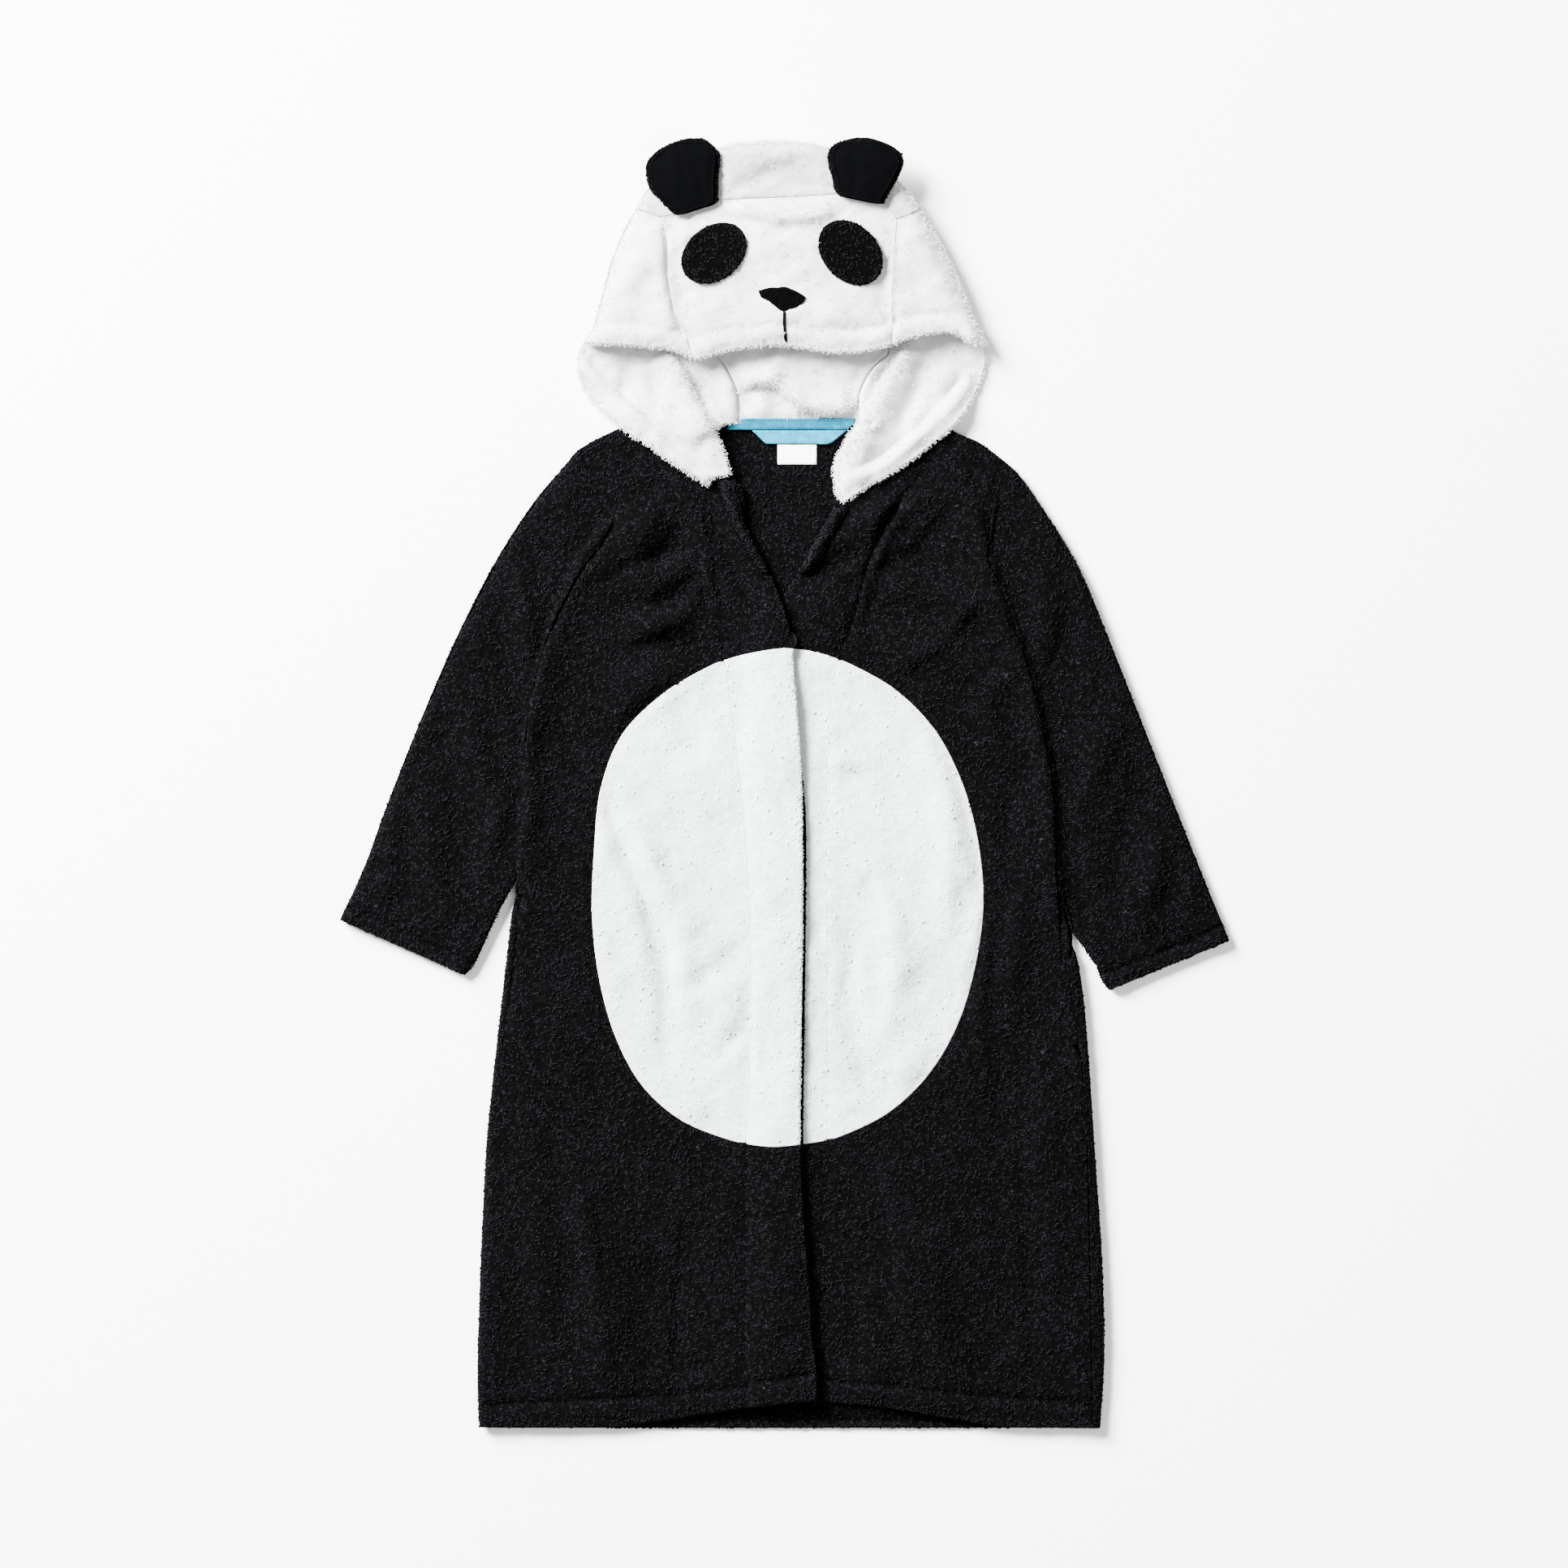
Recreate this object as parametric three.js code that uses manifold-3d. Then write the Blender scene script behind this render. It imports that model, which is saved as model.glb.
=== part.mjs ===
// A child's hooded fleece dressing gown with a panda's face on its hood, laid flat on its back.
// Millimetres. +X to the right of the gown as it lies, +Y from hem to hood, +Z up from the surface.
import * as THREE from "three";
import { mergeVertices } from "three/addons/utils/BufferGeometryUtils.js";
import Module from "manifold-3d";

const wasm = await Module();
wasm.setup();

// Driving sizes
const fleece = 3; // wall of the body's cloth
const seamGap = 0.3; // between two pieces at a seam
const half = seamGap / 2;
const rollRadius = 3.3; // middle of the wall where the body's side rolls over
const lipLength = 6; // what wraps on past the roll
const backMiddle = fleece / 2;
const frontRest = 5.4; // middle of the front's wall where it just lies on the back
const sideMiddle = backMiddle + 2 * rollRadius;
const sideRise = sideMiddle - frontRest;
const riseWidth = 30; // how far in from the side the front comes down to rest
const lapRise = 6.6; // how much higher the left band lies over the right one
const lapSlope = 23; // the width over which it climbs
const underLap = 4.8; // middle of the right front's wall under the lap
const hemDepth = 18;
const hemExtra = 1; // second layer of cloth at a front's hem
const tummy = { y: -84, b: 184.4 };
const placketWall = 1.4;
const placketTop = 8.1;
const buttonRadius = 6.5;
const buttonThick = 1.8;
const plush = 4; // wall of the hood's cloth
const hoodHeight = 18; // where the hood's face layer lies over its back
const hoodEdge = hoodHeight / 2; // radius outside of the roll round the hood's rim
const wingLift = 7.4; // what a wing climbs from the surface onto the shoulder

const colours = {
  black: [0x1f1f22, 0.95],
  white: [0xf1f1f0, 0.95],
  plushWhite: [0xf5f2ee, 0.95],
  woven: [0x1b1c27, 0.8],
  tape: [0x5fbcd6, 0.75],
  label: [0xf4f4f2, 0.7],
  button: [0x17171a, 0.35],
};

const root = new THREE.Group();

function addMesh(name, geometry, colour) {
  const [color, roughness] = colours[colour];
  const material = new THREE.MeshStandardMaterial({ color, roughness, metalness: 0 });
  const mesh = new THREE.Mesh(geometry, material);
  mesh.name = name;
  root.add(mesh);
}

// Tables and curves

const table = (columns, rows) => {
  const names = columns.split(" ");
  return rows.map((row) => Object.fromEntries(names.map((name, k) => [name, row[k]])));
};

const clamp = (value, low, high) => Math.min(high, Math.max(low, value));
const mix = (a, b, t) => a + (b - a) * t;
const smooth = (t) => {
  const u = clamp(t, 0, 1);
  return u * u * (3 - 2 * u);
};

function sortedBy(rows, key) {
  return [...rows].sort((a, b) => a[key] - b[key]);
}

// Straight lines between a table's rows.
function straight(rows, key, value) {
  const sorted = sortedBy(rows, key);
  return (at) => {
    const k = clamp(sorted.findIndex((row) => row[key] > at), -1, sorted.length);
    if (k === -1) return sorted.at(-1)[value];
    if (k === 0) return sorted[0][value];
    const [before, after] = [sorted[k - 1], sorted[k]];
    return mix(before[value], after[value], (at - before[key]) / (after[key] - before[key]));
  };
}

// A smooth line through a table's rows that never swings past them.
function flowing(rows, key, value) {
  const sorted = sortedBy(rows, key);
  const x = sorted.map((row) => row[key]);
  const y = sorted.map((row) => row[value]);
  const slope = x.slice(1).map((next, k) => (y[k + 1] - y[k]) / (next - x[k]));
  const tangent = x.map((_, k) => {
    const [before, after] = [slope[k - 1] ?? slope[k], slope[k] ?? slope[k - 1]];
    return before * after <= 0 ? 0 : (2 * before * after) / (before + after);
  });
  return (at) => {
    if (at <= x[0]) return y[0];
    if (at >= x.at(-1)) return y.at(-1);
    const k = x.findIndex((end) => end > at) - 1;
    const width = x[k + 1] - x[k];
    const t = (at - x[k]) / width;
    const lean = width * t * (1 - t);
    const swing = tangent[k] * (1 - t) - tangent[k + 1] * t;
    return mix(y[k], y[k + 1], t * t * (3 - 2 * t)) + lean * swing;
  };
}

// Closed solids

function solidGeometry(positions, index) {
  let volume = 0;
  const corner = (k) => new THREE.Vector3().fromArray(positions, 3 * k);
  for (let k = 0; k < index.length; k += 3) {
    const [a, b, c] = [corner(index[k]), corner(index[k + 1]), corner(index[k + 2])];
    volume += a.dot(b.cross(c));
  }
  const facing = volume > 0 ? index : [...index].reverse();
  const geometry = new THREE.BufferGeometry();
  geometry.setAttribute("position", new THREE.Float32BufferAttribute(positions, 3));
  geometry.setIndex(facing);
  return geometry;
}

const coordinates = (points) => points.flatMap((point) => [point.x, point.y, point.z]);
const quadsInto = (index) => (a, b, c, d) => index.push(a, b, c, a, c, d);

// A wall whose two faces are grids of points, with an edge all round.
function wall(faces) {
  const rows = faces[0].length;
  const columns = faces[0][0].length;
  const positions = coordinates(faces.flat(2));
  const at = (side, i, j) => (side * rows + i) * columns + j;
  const index = [];
  const quad = quadsInto(index);
  for (let i = 0; i + 1 < rows; i++)
    for (let j = 0; j + 1 < columns; j++) {
      quad(at(0, i, j), at(0, i, j + 1), at(0, i + 1, j + 1), at(0, i + 1, j));
      quad(at(1, i, j), at(1, i + 1, j), at(1, i + 1, j + 1), at(1, i, j + 1));
    }
  const [end, right] = [rows - 1, columns - 1];
  for (let j = 0; j < right; j++) {
    quad(at(0, 0, j), at(1, 0, j), at(1, 0, j + 1), at(0, 0, j + 1));
    quad(at(0, end, j), at(0, end, j + 1), at(1, end, j + 1), at(1, end, j));
  }
  for (let i = 0; i < end; i++) {
    quad(at(0, i, 0), at(0, i + 1, 0), at(1, i + 1, 0), at(1, i, 0));
    quad(at(0, i, right), at(1, i, right), at(1, i + 1, right), at(0, i + 1, right));
  }
  return solidGeometry(positions, index);
}

// The two faces either side of a grid of middle points, each with its way out and its thickness.
function facesOf(grid) {
  return [0.5, -0.5].map((side) =>
    grid.map((row) =>
      row.map((p) => ({
        x: p.x + (p.outX ?? 0) * (p.thick * side),
        y: p.y + (p.outY ?? 0) * (p.thick * side),
        z: p.z + (p.outZ ?? 1) * (p.thick * side),
      })),
    ),
  );
}

// A tube from rings of middle points: outer and inner face, open at both ends.
function tube(rings) {
  const [outer, inner] = facesOf(rings);
  const count = rings[0].length;
  const positions = coordinates([outer, inner].flat(2));
  const at = (side, i, j) => (side * rings.length + i) * count + (j % count);
  const index = [];
  const quad = quadsInto(index);
  for (let j = 0; j < count; j++) {
    for (let i = 0; i + 1 < rings.length; i++) {
      quad(at(0, i, j), at(0, i, j + 1), at(0, i + 1, j + 1), at(0, i + 1, j));
      quad(at(1, i, j), at(1, i + 1, j), at(1, i + 1, j + 1), at(1, i, j + 1));
    }
    const last = rings.length - 1;
    quad(at(0, 0, j), at(1, 0, j), at(1, 0, j + 1), at(0, 0, j + 1));
    quad(at(0, last, j), at(0, last, j + 1), at(1, last, j + 1), at(1, last, j));
  }
  return solidGeometry(positions, index);
}

// A solid from closed rings, with a fan over each end.
function loft(rings) {
  const count = rings[0].length;
  const positions = coordinates(rings.flat());
  const index = [];
  for (let i = 0; i + 1 < rings.length; i++)
    for (let j = 0; j < count; j++) {
      const [a, b] = [i * count + j, i * count + ((j + 1) % count)];
      index.push(a, b, b + count, a, b + count, a + count);
    }
  const ends = [rings[0], rings.at(-1)].map((ring) => {
    const middle = ring.reduce((sum, p) => sum.add(p), new THREE.Vector3()).divideScalar(count);
    positions.push(middle.x, middle.y, middle.z);
    return positions.length / 3 - 1;
  });
  const lastRing = (rings.length - 1) * count;
  for (let j = 0; j < count; j++) {
    const next = (j + 1) % count;
    index.push(ends[0], next, j, ends[1], lastRing + j, lastRing + next);
  }
  return solidGeometry(positions, index);
}

// A thin disc that lies on a surface: rings of points from its middle out to its outline.
function patch({ middle, reach, spokes, steps, under, thick }) {
  const rings = [];
  const ringAt = (share, height) =>
    Array.from({ length: spokes }, (_, k) => {
      const angle = (2 * Math.PI * k) / spokes;
      const out = reach(angle) * share;
      const x = middle.x + out * Math.cos(angle);
      const y = middle.y + out * Math.sin(angle);
      return { x, y, z: under(x, y) + height };
    });
  for (let k = 1; k <= steps; k++) rings.push(ringAt(k / steps, 0));
  for (let k = steps; k >= 1; k--) rings.push(ringAt(k / steps, thick));
  return loft(rings);
}

function toSolid(geometry) {
  const bare = geometry.index ? geometry.toNonIndexed() : geometry.clone();
  bare.deleteAttribute("normal");
  bare.deleteAttribute("uv");
  const merged = mergeVertices(bare, 1e-4);
  const vertProperties = new Float32Array(merged.attributes.position.array);
  const triVerts = new Uint32Array(merged.index.array);
  return new wasm.Manifold(new wasm.Mesh({ numProp: 3, vertProperties, triVerts }));
}

function toGeometry(solid) {
  const mesh = solid.getMesh();
  const geometry = new THREE.BufferGeometry();
  geometry.setAttribute("position", new THREE.BufferAttribute(mesh.vertProperties, mesh.numProp));
  geometry.setIndex(new THREE.BufferAttribute(mesh.triVerts, 1));
  return geometry;
}

// An upright block over an outline of [x, y] corners.
function block(outline, low, high) {
  const shape = new THREE.Shape(outline.map(([x, y]) => new THREE.Vector2(x, y)));
  const geometry = new THREE.ExtrudeGeometry(shape, { depth: high - low, bevelEnabled: false });
  geometry.translate(0, 0, low);
  return toSolid(geometry);
}

// Outlines of the body

// Where body and sleeve are sewn, from the armpit to the shoulder's end.
const leftArmhole = table("y x", [
  [-70.8, -197.4],
  [-20.4, -195.6],
  [13.2, -192.6],
  [57, -187.8],
  [96.6, -178.8],
  [130.2, -163.8],
  [158.4, -148.2],
  [174, -136.2],
  [190.2, -126],
  [201, -127.5],
  [213.6, -132.6],
  [231.6, -142.8],
  [246.6, -152.4],
]);
const rightArmhole = table("y x", [
  [-110.4, 213],
  [-92.4, 207.6],
  [-74.4, 202.2],
  [-45, 201.6],
  [3, 199.2],
  [46.8, 191.4],
  [84.6, 181.2],
  [118.8, 171.6],
  [148.2, 160.2],
  [164.4, 151.8],
  [189.6, 153.6],
  [213.6, 157.2],
  [239.4, 161.4],
]);
const leftSide = table("y x", [
  [-475, -225.6],
  [-441, -227.2],
  [-376.8, -225.4],
  [-328.8, -223.6],
  [-260.4, -220],
  [-209.4, -214.8],
  [-141, -206.8],
  [-99.6, -202.2],
]);
const rightSide = table("y x", [
  [-476, 234],
  [-440, 236.4],
  [-404.4, 238],
  [-376.8, 237.4],
  [-312.6, 232.8],
  [-248.4, 228.6],
  [-207.6, 226],
  [-165, 222.6],
  [-145.2, 220.2],
]);
const leftShoulder = table("y x", [
  [253, -141.6],
  [260.4, -126.6],
  [263.4, -119.4],
  [265.4, -112],
]);
const rightShoulder = table("y x", [
  [252, 144.6],
  [257.4, 132],
  [262.8, 120.6],
  [265.4, 115],
]);
const bodyLeft = straight([...leftSide, ...leftArmhole, ...leftShoulder], "y", "x");
const bodyRight = straight([...rightSide, ...rightArmhole, ...rightShoulder], "y", "x");

// Seams between a front's side panel and its band.
const leftBandSeam = flowing(
  table("y x", [
    [-475, -28.8],
    [-330, -28.2],
    [-263.4, -27.6],
    [-200, -24.6],
    [-110, -24.6],
    [-20.4, -30],
    [39.6, -36.6],
    [88.8, -43.8],
    [134.4, -58.8],
    [174, -64.8],
    [198, -76.2],
    [223.8, -88.2],
    [238.2, -96.6],
    [265.4, -104],
  ]),
  "y",
  "x",
);
const rightBandSeam = flowing(
  table("y x", [
    [-475, 27.6],
    [-350.4, 28.2],
    [-260.4, 31.8],
    [-80.4, 32.4],
    [-20.4, 31.2],
    [39.6, 33.6],
    [92.4, 40.2],
    [116.4, 49.8],
    [148.2, 58.2],
    [168, 64.2],
    [199.8, 79.8],
    [235.8, 103.8],
    [265.4, 109],
  ]),
  "y",
  "x",
);
// The left front's free edge from the hem up the neck, then the neck seam under the hood.
const leftEdge = flowing(
  table("y x", [
    [-452.4, 24],
    [-409.2, 19.8],
    [-376.8, 18.6],
    [-328.8, 15],
    [-265.2, 12],
    [-80.4, 13.8],
    [3.6, 13.2],
    [69.6, 8.4],
    [105.6, 5.4],
    [135.6, -2.4],
    [153.6, -9.6],
    [171.6, -18.6],
    [192.6, -28.8],
    [207.6, -29.4],
    [217.8, -30],
    [228, -37.2],
    [239, -52],
    [250, -58],
    [265.4, -62],
  ]),
  "y",
  "x",
);
// The right front's free edge, under the left one up to the neck.
const rightEdge = flowing(
  table("y x", [
    [-456, -13],
    [-260, -9.6],
    [99.6, -9.6],
    [138.6, -0.6],
    [147.6, 5.4],
    [207.6, 38.4],
    [226, 42],
    [239, 50],
    [250, 58],
    [265.4, 66],
  ]),
  "y",
  "x",
);
// The side seam with the pocket's mouth in it, on the right.
const frontSideEdge = flowing(
  table("y x", [
    [-476, 227.4],
    [-320, 225],
    [-248.4, 223],
    [-225, 221.2],
    [-200.4, 218.2],
    [-192.6, 211.5],
    [-176.4, 207],
    [-136, 204.6],
    [-112, 204],
    [-92.4, 203],
    [-74.4, 202.2],
  ]),
  "y",
  "x",
);
const backSideEdge = flowing(
  table("y x", [
    [-476, 228],
    [-320, 225.7],
    [-248.4, 223.8],
    [-225, 222.4],
    [-200.4, 219.2],
    [-190, 217.2],
    [-174, 217.2],
    [-159, 213],
    [-142, 211.9],
    [-126, 210.8],
    [-112, 210.2],
    [-96, 206.8],
    [-86, 204.6],
  ]),
  "y",
  "x",
);

// The tummy: an uneven oval, squarer at its upper left.
const tummyShape = new THREE.CatmullRomCurve3(
  table("x y", [
    [147.3, -83.4],
    [143.6, -43.3],
    [133, -2.5],
    [112.8, 38],
    [79.5, 71.6],
    [35, 94],
    [5, 100],
    [-15.4, 98.2],
    [-39.7, 92.8],
    [-63.3, 83.4],
    [-84.4, 70.2],
    [-104, 54],
    [-119.8, 36],
    [-130.4, 14],
    [-136.4, -9.2],
    [-140.4, -52.8],
    [-141.8, -93.5],
    [-138, -134.9],
    [-127.5, -178.6],
    [-105, -222.4],
    [-65.4, -254.4],
    [-15.8, -267.4],
    [10, -266.4],
    [35, -262.4],
    [60, -253.6],
    [98.7, -224],
    [124.9, -185],
    [139.2, -143.8],
    [146, -103.4],
  ]).map(({ x, y }) => new THREE.Vector3(x, y, 0)),
  true,
  "centripetal",
).getSpacedPoints(720);
// Where a line across or along the body leaves the oval, on the lower or higher side.
function leaves(along, at, value, side) {
  let found = side < 0 ? Infinity : -Infinity;
  for (let k = 1; k < tummyShape.length; k++) {
    const [from, to] = [tummyShape[k - 1], tummyShape[k]];
    const apart = to[at] - from[at];
    const share = (value - from[at]) / apart;
    if (!apart || share < 0 || share > 1) continue;
    const here = mix(from[along], to[along], share);
    found = side < 0 ? Math.min(found, here) : Math.max(found, here);
  }
  return found;
}
const tummyLow = Math.min(...tummyShape.map(({ y }) => y)) + 0.02;
const tummyHigh = Math.max(...tummyShape.map(({ y }) => y)) - 0.02;
const tummyEdge = (y, side) => leaves("x", "y", clamp(y, tummyLow, tummyHigh), side);
const tummyEnd = (x, side) => leaves("y", "x", x, side);
// Where the oval crosses a band's seam, going up (1) or down (-1) from its middle.
function crossing(seam, side, way) {
  let [inside, outside] = [tummy.y, tummy.y + way * tummy.b];
  for (let k = 0; k < 40; k++) {
    const y = (inside + outside) / 2;
    if (side * (tummyEdge(y, side) - seam(y)) > 0) inside = y;
    else outside = y;
  }
  return (inside + outside) / 2;
}
const cornerStep = 1.2;
function tummyRows(seam, side, count) {
  const [low, high] = [crossing(seam, side, -1), crossing(seam, side, 1)];
  const angle = (y) => Math.asin(clamp((y - tummy.y) / tummy.b, -1, 1));
  const [from, to] = [angle(low + cornerStep), angle(high - cornerStep)];
  const inner = Array.from({ length: count }, (_, k) => {
    return tummy.y + tummy.b * Math.sin(mix(from, to, k / (count - 1)));
  });
  return [low, ...inner, high];
}
const leftRows = tummyRows(leftBandSeam, -1, 11);
const rightRows = tummyRows(rightBandSeam, 1, 11);

// Folds: soft ridges and troughs along a line, each with its half width and height.
const frontFolds = table("x1 y1 x2 y2 wide high", [
  [-98, 236, -72, 178, 7, -0.6],
  [-70, 176, -126, 163, 8, -0.7],
  [-66, 150, -114, 132, 8, 1.2],
  [-124, 118, -66, 99, 9, -0.6],
  [-90, 205, -118, 176, 9, 1.5],
  [62, 172, 6, 153, 7, -0.6],
  [36, 177, 104, 212, 9, 1.8],
  [78, 150, 140, 128, 12, 1.2],
  [-132, -14, -114, -68, 7, -0.7],
  [-114, -68, -90, -106, 7, -0.8],
  [-90, -106, -85, -200, 8, -0.7],
  [-150, -10, -128, -100, 12, 1.4],
  [-26, -118, -72, -154, 8, -0.6],
  [-30, -178, -52, -205, 7, -0.6],
  [-60, -120, -40, -230, 14, 1.2],
  [28, 23, 58, 11, 6, 0.9],
  [46, -98, 53, -155, 7, -0.7],
  [53, -155, 63, -224, 7, -0.7],
  [76, -40, 92, -190, 14, 1.3],
  [-150, -300, -120, -440, 16, 1.3],
  [-80, -310, -92, -450, 14, -0.5],
  [90, -290, 118, -450, 16, 1.2],
  [160, -240, 172, -420, 13, -0.5],
  [-176, -150, -170, -300, 12, 0.9],
]);
function foldHeight(folds, x, y) {
  let sum = 0;
  for (const fold of folds) {
    const [dx, dy] = [fold.x2 - fold.x1, fold.y2 - fold.y1];
    const length = Math.hypot(dx, dy);
    const along = clamp(((x - fold.x1) * dx + (y - fold.y1) * dy) / length ** 2, 0, 1);
    const off = Math.hypot(x - fold.x1 - along * dx, y - fold.y1 - along * dy);
    sum += fold.high * Math.exp(-((off / fold.wide) ** 2)) * (0.55 + 0.45 * Math.sin(Math.PI * along));
  }
  return sum;
}

const wingEdge = 205; // above this the fronts lie flat under the hood's wings
// Middle of the fronts' wall, before the lap.
function frontMiddle(x, y) {
  const toSide = Math.min(x - bodyLeft(y), bodyRight(y) - x) - rollRadius - fleece / 2;
  const up = smooth(1 - toSide / riseWidth) * smooth((235 - y) / 45);
  const calm = smooth((wingEdge + 25 - y) / 25) * smooth(toSide / 25);
  const height = frontRest + sideRise * up + foldHeight(frontFolds, x, y) * calm;
  return clamp(height, frontRest - 0.45, sideMiddle);
}
const lapShare = (x, y) => smooth((x - rightEdge(y) + lapSlope + 2) / lapSlope);
function leftMiddle(x, y) {
  const lap = lapShare(x, y);
  return mix(frontMiddle(x, y), frontRest + lapRise, lap);
}
function rightMiddle(x, y) {
  const clear = smooth((x - leftEdge(y) - 4) / 10);
  return mix(underLap, frontMiddle(x, y), clear);
}

// How far a front's hem rises towards the middle, and the share of it that a row takes.
const frontHemRise = flowing(
  table("x rise", [
    [-131, 0],
    [-83, 6.4],
    [-35, 14],
    [24, 20],
    [27, 19],
    [62, 16.5],
    [110, 9],
    [160, 1],
    [175, 0],
  ]),
  "x",
  "rise",
);
const hemLine = -475;
const hemFade = 120;
const hemShift = (x, y) => frontHemRise(x) * smooth(1 - (y - hemLine) / hemFade);
function hemThickness(x, y) {
  const inside = smooth((hemLine + hemDepth + 3 - y) / 3);
  const fromSide = Math.min(x - bodyLeft(y), bodyRight(y) - x);
  return hemExtra * inside * smooth((fromSide - 10) / 12);
}

const lowerRows = [-475, -457, -454, -425, -385, -345, -305, -280];
const chestRows = [112, 124];
const upTo = (list, low, high) => list.filter((y) => y > low + 0.5 && y < high - 0.5);
const rowsOf = (...lists) => {
  const all = lists.flat().sort((a, b) => a - b);
  return all.filter((y, k) => k === 0 || y - all[k - 1] > 0.4);
};
const yOf = (rows) => rows.map((row) => row.y);

const leftUpperRows = rowsOf(chestRows, upTo(yOf(leftArmhole), 100, 250), yOf(leftShoulder));
const rightUpperRows = rowsOf(chestRows, [134], upTo(yOf(rightArmhole), 100, 250), yOf(rightShoulder));
const pocketRows = [-200.4, -192, -184, -176.4, -159, -142, -126, -118, -108, -96, -88];

// Side panels of the fronts

const rollSteps = 3;
const flatRoll = 8; // width of the same columns where the cloth lies flat
// A roll's columns. share 0 leaves the cloth flat out to its edge, share 1 rolls it right round.
function rollColumns({ y, edge, way, share, from, lip, flatZ, room }) {
  const centre = edge - way * (rollRadius + fleece / 2);
  const flatReach = Math.min(flatRoll, room / 2);
  const columns = [];
  for (let k = 0; k <= rollSteps + 1; k++) {
    const turn = Math.min(k, rollSteps) / rollSteps;
    const angle = from * (Math.PI / 2 - Math.PI * turn);
    const past = k > rollSteps ? lip : 0;
    const rolled = {
      x: centre + way * rollRadius * Math.cos(angle) - way * past,
      z: backMiddle + rollRadius + rollRadius * Math.sin(angle),
      outX: way * Math.cos(angle),
      outZ: Math.sin(angle),
    };
    const flat = {
      x: edge - way * flatReach * (1 - k / (rollSteps + 1)),
      z: flatZ,
      outX: 0,
      outZ: from,
    };
    const out = new THREE.Vector2(mix(flat.outX, rolled.outX, share), mix(flat.outZ, rolled.outZ, share));
    out.normalize();
    columns.push({
      x: mix(flat.x, rolled.x, share),
      y,
      z: mix(flat.z, rolled.z, share),
      outX: out.x,
      outZ: out.y,
      thick: fleece,
    });
  }
  return columns;
}

const flatColumns = 6;
const leftPit = -70.8;
const rightPit = -110.4;

function frontLeft() {
  const sleeveRows = upTo(yOf(leftArmhole), leftPit - 1, 100);
  const rows = rowsOf(lowerRows, leftRows, [-92, -78], sleeveRows, leftUpperRows);
  const [low, high] = [leftRows[0], leftRows.at(-1)];
  const grid = rows.map((y) => {
    const inOval = y > low && y < high;
    const inner = (inOval ? Math.min(tummyEdge(y, -1), leftBandSeam(y)) : leftBandSeam(y)) - half;
    const share = smooth((leftPit - 6 - y) / 16);
    const edge = bodyLeft(y) + (y >= leftPit - 0.1 ? half : 0);
    const flatZ = leftMiddle(edge + 1, y);
    const room = inner - edge;
    const roll = rollColumns({ y, edge, way: -1, share, from: 1, lip: lipLength, flatZ, room });
    const flat = Array.from({ length: flatColumns }, (_, k) => {
      const x = mix(inner, roll[0].x, k / flatColumns);
      const extra = hemThickness(x, y);
      return { x, y: y + hemShift(x, y), z: leftMiddle(x, y) + extra / 2, thick: fleece + extra };
    });
    const row = [...flat, ...roll];
    return row.map((p) => ({ ...p, z: share < 1 && p.outX === 0 ? leftMiddle(p.x, p.y) : p.z }));
  });
  return wall(facesOf(grid));
}

function frontRight() {
  const rows = rowsOf(lowerRows, rightRows, pocketRows, upTo(yOf(rightArmhole), -80, 100), rightUpperRows);
  const [low, high] = [rightRows[0], rightRows.at(-1)];
  const grid = rows.map((y) => {
    const inOval = y > low && y < high;
    const seam = rightBandSeam(y);
    const inner = (inOval ? Math.max(tummyEdge(y, 1), seam) : seam) + half;
    const outer = (y < -74 ? frontSideEdge(y) : bodyRight(y)) - half;
    return Array.from({ length: flatColumns + 3 }, (_, k) => {
      const t = k / (flatColumns + 2);
      const x = mix(inner, outer, t);
      const extra = hemThickness(x, y);
      return { x, y: y + hemShift(x, y), z: rightMiddle(x, y) + extra / 2, thick: fleece + extra };
    });
  });
  return wall(facesOf(grid));
}

function backPanel() {
  const rows = rowsOf(
    [-475.8, -425, -345, -280, -248, -84, -78],
    pocketRows,
    yOf(leftArmhole),
    yOf(rightArmhole),
    yOf(leftShoulder),
    yOf(rightShoulder),
    [265.7],
  );
  const tucked = rollRadius + fleece / 2 + lipLength + seamGap;
  const grid = rows.map((y) => {
    const underFront = smooth((leftPit - y) / 7);
    const start = bodyLeft(y) + mix(half, tucked, underFront);
    const share = smooth((rightPit - 2 - y) / 13);
    const edge = bodyRight(y) - (y >= rightPit - 0.1 ? half : 0);
    const centre = edge - rollRadius - fleece / 2;
    const lip = Math.max(0.3, centre - backSideEdge(y) - half);
    const room = edge - start;
    const roll = rollColumns({ y, edge, way: 1, share, from: -1, lip, flatZ: backMiddle, room });
    const flat = [0, 0.5].map((t) => {
      return { x: mix(start, roll[0].x, t), y, z: backMiddle, outZ: -1, thick: fleece };
    });
    return [...flat, ...roll];
  });
  return wall(facesOf(grid));
}

// A panel between two side lines, with its own rows; its end rows may follow a line across.
function panelBetween({ rows, left, right, middle, columns, startAt, endAt, thickness }) {
  const grid = rows.map((y, i) =>
    Array.from({ length: columns + 1 }, (_, k) => {
      const x = mix(left(y), right(y), k / columns);
      const ends = { 0: startAt, [rows.length - 1]: endAt };
      const yHere = ends[i] ? ends[i](x) : y + hemShift(x, y);
      const extra = thickness ? thickness(x, y) : 0;
      return { x, y: yHere, z: middle(x, y) + extra / 2, thick: fleece + extra };
    }),
  );
  return wall(facesOf(grid));
}

function tummySide(rows, seam, side, middle) {
  const curve = (y) => tummyEdge(y, side) - side * half;
  const inner = (y) => seam(y) + side * half;
  const [left, right] = side < 0 ? [curve, inner] : [inner, curve];
  return panelBetween({ rows: rows.slice(1, -1), left, right, middle, columns: 6 });
}

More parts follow.
